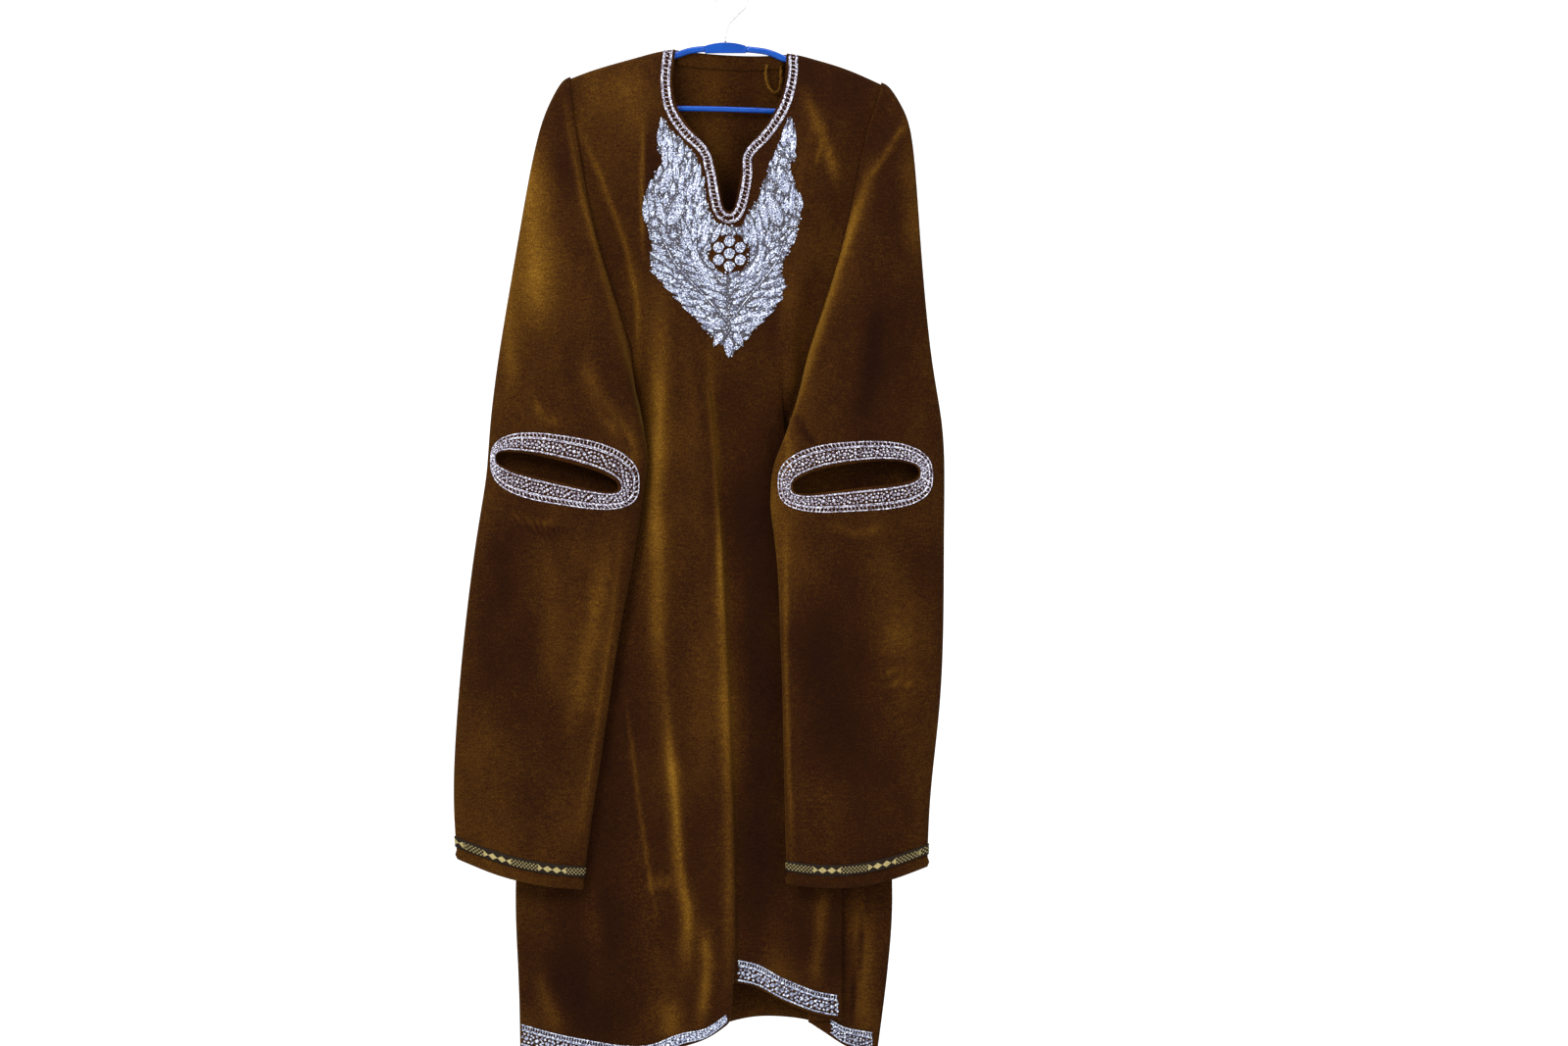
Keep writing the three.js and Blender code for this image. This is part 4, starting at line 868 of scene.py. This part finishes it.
def feathers(outline):
    """Leaves from the stems out past the outline's lower half, their tips standing free of it."""
    line = Strip(outline)
    made = []
    for i in range(int(line.length / FEATHER_PITCH)):
        x, z = line.place((i + 0.5) * FEATHER_PITCH, 0.0)
        if z > FEATHERS_BELOW:
            continue
        side = 1 if x > AXIS else -1
        stem_z, stem_out = zip(*[(place[1], abs(place[0] - AXIS)) for place in on_side(STEM, side)])
        angle = math.radians(20 + 4 * math.sin(i * 1.7))
        length = 0.0
        while length < FEATHER_LONGEST:
            out = abs(x - AXIS) - math.cos(angle) * length
            stem = float(np.interp(z - math.sin(angle) * length, stem_z, stem_out))
            if out < max(2.5 * MM, stem + 2 * MM):
                break
            length += 1 * MM
        turned = angle if side > 0 else math.pi - angle
        tip = TIP_FREE
        for share in (1.0,) if length < ONE_FEATHER else (0.54, 0.46):
            long = share * length + (TIP_FREE if share != 0.46 else 0.0)
            base = (x + math.cos(turned) * (tip - long), z + math.sin(turned) * (tip - long))
            made.append((base, turned, long, FEATHER_WIDTH, 0.14 * side))
            tip -= long + 0.6 * MM
    return made


def breast_painted_shade(outline):
    """A close dark sheet under the leaves: the silver thread's tone darkened, as painted shade in the gaps
    between them.
    """
    threads = Threads(on_front)
    cell = 2.5 * MM
    (x0, z0), (x1, z1) = outline.min(axis=0), outline.max(axis=0)
    columns, rows = int((x1 - x0) / cell) + 1, int((z1 - z0) / cell) + 1
    grid = np.array([(x0 + i * cell, z0 + k * cell) for k in range(rows) for i in range(columns)])
    clear = np.hypot(grid[:, 0] - ROSETTE[0], grid[:, 1] - ROSETTE[1]) > COIN_APART + COIN + 2 * MM
    kept = inside(outline, grid) & clear
    index = {}
    for k in range(rows - 1):
        for i in range(columns - 1):
            corners = [k * columns + i, k * columns + i + 1, (k + 1) * columns + i + 1, (k + 1) * columns + i]
            if all(kept[n] for n in corners):
                for n in corners:
                    if n not in index:
                        index[n] = len(threads.verts)
                        threads.verts.append(on_front.at(*grid[n], 0.3 * MM)[0])
                threads.faces.append([index[n] for n in corners])
    return threads.piece("tilla_breast_painted_shade", SILVER_PAINTED_SHADE, "tilla")


def breast_embroidery():
    """Stems, big leaves and florets in mirrored places, feathers along the lower edge, then leaves
    packed along the flow from long to short, and knots in the gaps."""
    pick = random.Random(11)
    leaves, coils, rosette = Threads(on_front), Threads(on_front), Threads(on_front)
    room = Packing(0.15 * MM)
    edge = curve_through(FIELD, 3 * MM)
    outline = np.array(edge + list(reversed(curve_through(FIELD_NECK, 3 * MM))))
    rx, rz = ROSETTE
    room.take([(rx, rz, COIN_APART + COIN + 0.6 * MM)])
    for k in range(7):
        turn = math.pi * k / 3 + 0.52
        x, z = (rx, rz) if k == 6 else (rx + COIN_APART * math.cos(turn), rz + COIN_APART * math.sin(turn))
        rosette.coil(x, z, COIN - 0.5 * MM, 0.7 * MM)
        rosette.knot(x, z, 2.0 * MM, 2.8 * MM)

    def lay(shape, bounds=True):
        discs = leaf_discs(*shape)
        if (not bounds or inside(outline, discs[:, :2]).all()) and room.free(discs):
            room.take(discs)
            leaves.leaf(*shape)

    for side in (1, -1):
        stem = curve_through(on_side(STEM, side), 2 * MM)
        room.take(np.array([(x, z, 0.9 * MM) for x, z in stem]))
        leaves.cord(stem, 0.75 * MM, lift=1.0 * MM)
        for row in BIG_LEAVES + TIP_DROPS:
            lay(mirrored(row, side), bounds=False)
        for out, z, size in FLORETS:
            x = AXIS + side * out * (1.0 if side > 0 else LEFT_REACH) * MM
            ring = np.array([(x, z * MM, (size + 1.9) * MM)])
            if inside(outline, ring[:, :2]).all() and room.free(ring):
                room.take(ring)
                coils.coil(x, z * MM, size * MM, 0.65 * MM)
                coils.knot(x, z * MM, 1.6 * MM, 2.4 * MM)
                petals = (size + 1.1) * MM
                for k in range(10):
                    turn = math.tau * k / 10
                    place = (x + petals * math.cos(turn), z * MM + petals * math.sin(turn))
                    coils.knot(*place, 0.95 * MM, 1.5 * MM)
    for shape in feathers(edge):
        lay(shape, bounds=False)
    box = list(zip(outline.min(axis=0), outline.max(axis=0)))
    for length, width, tries, spread in FILLING:
        for _ in range(tries):
            base = (pick.uniform(*box[0]), pick.uniform(*box[1]))
            size = pick.uniform(0.85, 1.15) * MM
            angle = flow(*base) + pick.uniform(-spread, spread)
            lay((base, angle, length * size, width * size, pick.uniform(-spread, spread)))
    for _ in range(KNOT_TRIES):
        knot = np.array([(pick.uniform(*box[0]), pick.uniform(*box[1]), pick.uniform(0.75, 1.5) * MM)])
        if inside(outline, knot[:, :2]).all() and room.free(knot):
            room.take(knot)
            coils.knot(*knot[0], 1.2 * MM)
    return (breast_painted_shade(outline),
            leaves.piece("tilla_breast_leaves", SILVER, "tilla", ["breast_embroidery"]),
            coils.piece("tilla_breast_coils", SILVER, "tilla"),
            rosette.piece("tilla_breast_rosette", SILVER, "tilla", ["breast_rosette"]))


# The first piece is the dark sheet of painted shade under the leaves.
ground, leaves, coils, rosette = breast_embroidery()

# ---------- slit borders, hems and cuffs ----------

SLIT_LEFT = {"slit": (-209, -590, 74, 13, -0.24, 2), "border": (-199.5, -590, 89.5, 42, -0.15, 2)}
SLIT_RIGHT = {"slit": (150, -599, 76, 15, 0.12, 5), "border": (149.5, -599, 93, 42, 0.05, 4)}
SLIT_ROUNDNESS = 0.72
SLIT_WIDTH = 24 * MM
SLIT_RUNGS, HEM_RUNGS = 4.4 * MM, 3.2 * MM


def slit_line(sizes, out, count=150):
    """The outline between the slit's edge and the border's, anticlockwise."""
    x0, z0, long, high, tilt, bow = (lerp(a, b, out) for a, b in zip(sizes["slit"], sizes["border"]))
    line = []
    for i in range(count):
        u, v = (math.copysign(abs(f(math.tau * i / count)) ** SLIT_ROUNDNESS, f(math.tau * i / count))
                for f in (math.cos, math.sin))
        line.append((x0 + long * u, z0 + high * v + tilt * long * u + bow * (1 - u * u)))
    return mm(line)


class Ring(Strip):
    """The band between two outlines of a slit border, so that it narrows as they do."""

    def __init__(self, sizes, width):
        super().__init__(slit_line(sizes, 0.5), closed=True)
        self.width = width
        self.inner, self.outer = slit_line(sizes, 0.10), slit_line(sizes, 1.0)

    def place(self, s, v):
        i = float(np.interp(s % self.length, self.gone, range(len(self.gone))))
        a, b = int(i) % len(self.line), (int(i) + 1) % len(self.line)
        t, share = i - int(i), v / self.width
        inner = [lerp(self.inner[a][k], self.inner[b][k], t) for k in (0, 1)]
        outer = [lerp(self.outer[a][k], self.outer[b][k], t) for k in (0, 1)]
        return lerp(inner[0], outer[0], share), lerp(inner[1], outer[1], share)


def slit_border(name, cloth, sizes, node):
    threads = Threads(cloth)
    border(threads, Ring(sizes, SLIT_WIDTH), SLIT_WIDTH, SLIT_RUNGS)
    return threads.piece(name, ROSE_SILVER, "tilla", [node])


ring_left = slit_border("tilla_slit_left", on_left, SLIT_LEFT, "slit_border_left")
ring_right = slit_border("tilla_slit_right", on_right, SLIT_RIGHT, "slit_border_right")

HEMS = {
    "left": (on_front, "hem_border_front_left", 26, [
        (-253, -1281), (-214, -1290), (-170, -1299), (-126, -1305), (-94, -1297), (-63, -1279), (-31, -1270),
        (-6, -1252)]),
    "middle": (on_front, "hem_border_front_middle", 26, [
        (8, -1203), (33, -1209), (61, -1224), (101, -1240), (128, -1245)]),
    "right": (on_front, "hem_border_front_right", 24, [
        (120, -1266), (137, -1278), (170, -1289)]),
    "back": (on_back, "hem_border_back", 26, [
        (172, -1284), (120, -1259), (80, -1247), (30, -1244), (0, -1249), (-80, -1277), (-160, -1287),
        (-252, -1278)]),
}
# Share of the border's height that shows above the edge, from one end to the other.
HEM_NARROW = {"left": [(-253, 1.0), (-126, 1.0), (-63, 0.5), (-6, 0.36)], "right": [(120, 0.7), (170, 1.0)]}


class Hem(Strip):
    """A hem border that may narrow along its length."""

    def __init__(self, line, narrow):
        super().__init__(line)
        self.narrow = narrow

    def place(self, s, v):
        x, z = super().place(s, 0.0)
        share = float(np.interp(x / MM, *zip(*self.narrow))) if self.narrow else 1.0
        return x, z + v * share


for key, (cloth, node, width, line) in HEMS.items():
    threads = Threads(cloth)
    border(threads, Hem(curve_through(mm(line), 2.5 * MM), HEM_NARROW.get(key)), width * MM, HEM_RUNGS)
    threads.piece(f"tilla_hem_{key}", SILVER, "tilla", [node])

RIBBON_BEHIND = 0.3           # metres further along the weave than the stretch in front


def cuff_ribbon(name, node):
    """The ribbon as a fine band round the cuff, with metres along it and up it as UV."""
    mesh = smooth_copy(node)
    low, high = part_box(node)
    half_way = (low[1] + high[1]) / 2
    at = np.array([v.co for v in mesh.vertices])
    middle = np.polyfit(at[:, 0], at[:, 2], 3)
    uv = mesh.uv_layers.new(name="weave")
    for polygon in mesh.polygons:
        for loop in polygon.loop_indices:
            x, y, z = mesh.vertices[mesh.loops[loop].vertex_index].co
            up = z - float(np.polyval(middle, x)) + RIBBON_WIDTH / 2
            uv.data[loop].uv = (x + (RIBBON_BEHIND if y > half_way else 0.0), up)
    smooth_faces(mesh)
    return place_piece(name, mesh, RIBBON, [node])


ribbon_left = cuff_ribbon("cuff_ribbon_gold_left", "cuff_ribbon_left")
ribbon_right = cuff_ribbon("cuff_ribbon_gold_right", "cuff_ribbon_right")

# ---------- seams, loop and hanger ----------

STITCH, STITCH_PITCH = 2.9 * MM, 4.2 * MM


def stitches(name, cloth, line):
    """Short stitches along a line on a cloth."""
    threads = Threads(cloth)
    pick = random.Random(5)
    strip = Strip(curve_through(mm(line), 2 * MM))
    for i in range(int(strip.length / STITCH_PITCH)):
        v = pick.uniform(-0.35, 0.35) * MM
        stitch = [strip.place(i * STITCH_PITCH + t * STITCH, v) for t in (0.0, 0.5, 1.0)]
        threads.cord(stitch, 0.28 * MM, sides=4)
    return threads.piece(name, THREAD, "velvet")


SEAM_LEFT = [(-327, -1038), (-290, -1052), (-240, -1064), (-182, -1072)]
SEAM_RIGHT = [(72, -1066), (120, -1075), (180, -1066), (232, -1050)]
seam_left = stitches("stitches_cuff_left", on_left, SEAM_LEFT)
seam_right = stitches("stitches_cuff_right", on_right, SEAM_RIGHT)

LOOP_PATH = [
    (43, 3.4, -98), (41.5, 2.4, -110), (45, 2.5, -124), (53, 3, -131), (59, 2.5, -124), (60, 3.4, -99),
]
LOOP_STEPS, LOOP_TWIST = 60, 0.62   # places along it, and radians from one to the next


def hanging_loop():
    """Two thin cords twisted round each other along the loop."""
    threads = Threads(on_back)
    points = [Vector(p) * MM for p in LOOP_PATH]
    route = []
    for i in range(LOOP_STEPS + 1):
        at = (len(points) - 1) * i / LOOP_STEPS
        k = min(int(at), len(points) - 2)
        route.append(catmull(*neighbours(points, k), at - k))
    for phase in (0.0, math.pi):
        places = []
        for i, point in enumerate(route):
            along = (route[min(i + 1, LOOP_STEPS)] - route[max(i - 1, 0)]).normalized()
            side = along.cross(Vector((0, 1, 0))).normalized()
            turn = phase + i * LOOP_TWIST
            off = side * math.cos(turn) + Vector((0, 1, 0)) * math.sin(turn)
            places.append((point + off * (0.8 * MM) - Vector((0, 0.6 * MM, 0)), off))
        threads.tube(places, 1.2 * MM, sides=6)
    piece = threads.piece("velvet_hanging_loop", VELVET, "velvet", ["hanging_loop"])
    set_nap_and_painted_light(piece.data, [0.75] * len(piece.data.vertices))
    return piece


loop = hanging_loop()

PLATE_MIDDLE, PLATE_REACH = -7 * MM, 26.6 * MM
INTO_PLATE = 2.4 * MM         # how far the arms run on


def hanger_piece(name, node, material=BLUE):
    """A smooth copy of a hanger part. The arms run on into the plate."""
    mesh = smooth_copy(node, all_sharp=True)
    for vertex in mesh.vertices:
        if node.startswith("hanger_arm") and abs(vertex.co.x - PLATE_MIDDLE) < PLATE_REACH:
            vertex.co.x -= math.copysign(INTO_PLATE, vertex.co.x - PLATE_MIDDLE)
    smooth_faces(mesh)
    place_piece(name, mesh, material, [node])


def hanger_plate():
    """The plate between the arms, with rounded edges."""
    mesh = bpy.data.meshes.new("hanger_plate_rounded")
    work = bmesh.new()
    work.from_mesh(nodes["hanger_plate"].data)
    bmesh.ops.remove_doubles(work, verts=work.verts, dist=0.01 * MM)
    bmesh.ops.dissolve_limit(work, angle_limit=0.02, verts=work.verts, edges=work.edges)
    sharp = [e for e in work.edges if e.calc_face_angle(0) > 1.0]
    bmesh.ops.bevel(work, geom=sharp, offset=1.2 * MM, segments=3, affect="EDGES", profile=0.5)
    work.to_mesh(mesh)
    work.free()
    place_piece("hanger_centre_plate", mesh, BLUE, ["hanger_plate"])


hanger_piece("hanger_tube_left", "hanger_arm_left")
hanger_piece("hanger_tube_right", "hanger_arm_right")
hanger_piece("hanger_tube_bar", "hanger_bar")
hanger_piece("hanger_wire_hook", "hanger_hook", STEEL)
hanger_plate()

# ---------- studio ----------

VIEW_CENTRE = Vector((0.0637, -0.02, -0.6508))
VIEW_WIDTH = 1.888            # of the frame, at the garment
LENS, SENSOR = 150.0, 36.0    # far off, as the photograph

# A round floor, low enough and small enough to leave the level view clear.
FLOOR_SIDES, FLOOR_RADIUS, FLOOR_Z = 48, 4.6, -1.75

GARMENT_MIDDLE = Vector((0, 0, -0.62))
LIGHTS = [                    # name, place, size in metres, watts, colour
    ("key", (-1.5, -2.4, 0.9), 1.1, 70, (1.0, 0.97, 0.92)),
    ("fill", (1.6, -2.6, -0.2), 1.6, 28, (0.95, 0.97, 1.0)),
    ("top", (0.0, -0.2, 1.7), 1.4, 30, (1.0, 1.0, 1.0)),
    ("behind_left", (-1.7, 2.5, 0.8), 1.3, 45, (1.0, 0.97, 0.92)),
    ("behind_right", (1.7, 2.6, -0.1), 1.5, 25, (0.95, 0.97, 1.0)),
]
WORLD_LIGHT, WORLD_SEEN = 0.75, 1.3   # white behind the garment, and less of it as light


def view():
    camera = bpy.data.objects.new("camera", bpy.data.cameras.new("camera"))
    camera.data.lens, camera.data.sensor_width = LENS, SENSOR
    camera.data.clip_end = 40
    camera.location = VIEW_CENTRE - Vector((0, VIEW_WIDTH * LENS / SENSOR, 0))
    camera.rotation_euler = (math.radians(90), 0, 0)
    link(camera)
    bpy.context.scene.camera = camera


def floor():
    turns = [math.tau * k / FLOOR_SIDES for k in range(FLOOR_SIDES)]
    rim = [(FLOOR_RADIUS * math.cos(turn), FLOOR_RADIUS * math.sin(turn), FLOOR_Z) for turn in turns]
    mesh = bpy.data.meshes.new("studio_floor")
    mesh.from_pydata(rim, [], [list(range(FLOOR_SIDES))])
    paper = plain_look("paper", (0.86, 0.86, 0.86), (0.9, 0.9, 0.9), 120, 0.0005, Roughness=0.95)
    mesh.materials.append(paper)
    ground_disc = bpy.data.objects.new("studio_floor", mesh)
    link(ground_disc)


def lights():
    for name, at, size, watts, color in LIGHTS:
        light = bpy.data.objects.new(name, bpy.data.lights.new(name, "AREA"))
        light.data.size, light.data.energy, light.data.color = size, watts, color
        light.location = at
        light.rotation_euler = (GARMENT_MIDDLE - Vector(at)).to_track_quat("-Z", "Y").to_euler()
        light.visible_camera = False
        link(light)
    world = bpy.data.worlds.new("studio")
    world.use_nodes = True
    tree = world.node_tree
    background = tree.nodes["Background"].inputs
    background["Color"].default_value = (1, 1, 1, 1)
    seen = tree.nodes.new("ShaderNodeMapRange")
    tree.links.new(tree.nodes.new("ShaderNodeLightPath").outputs["Is Camera Ray"], seen.inputs["Value"])
    seen.inputs["To Min"].default_value, seen.inputs["To Max"].default_value = WORLD_LIGHT, WORLD_SEEN
    tree.links.new(seen.outputs[0], background["Strength"])
    bpy.context.scene.world = world
    bpy.context.scene.view_settings.view_transform = "Standard"


view()
floor()
lights()
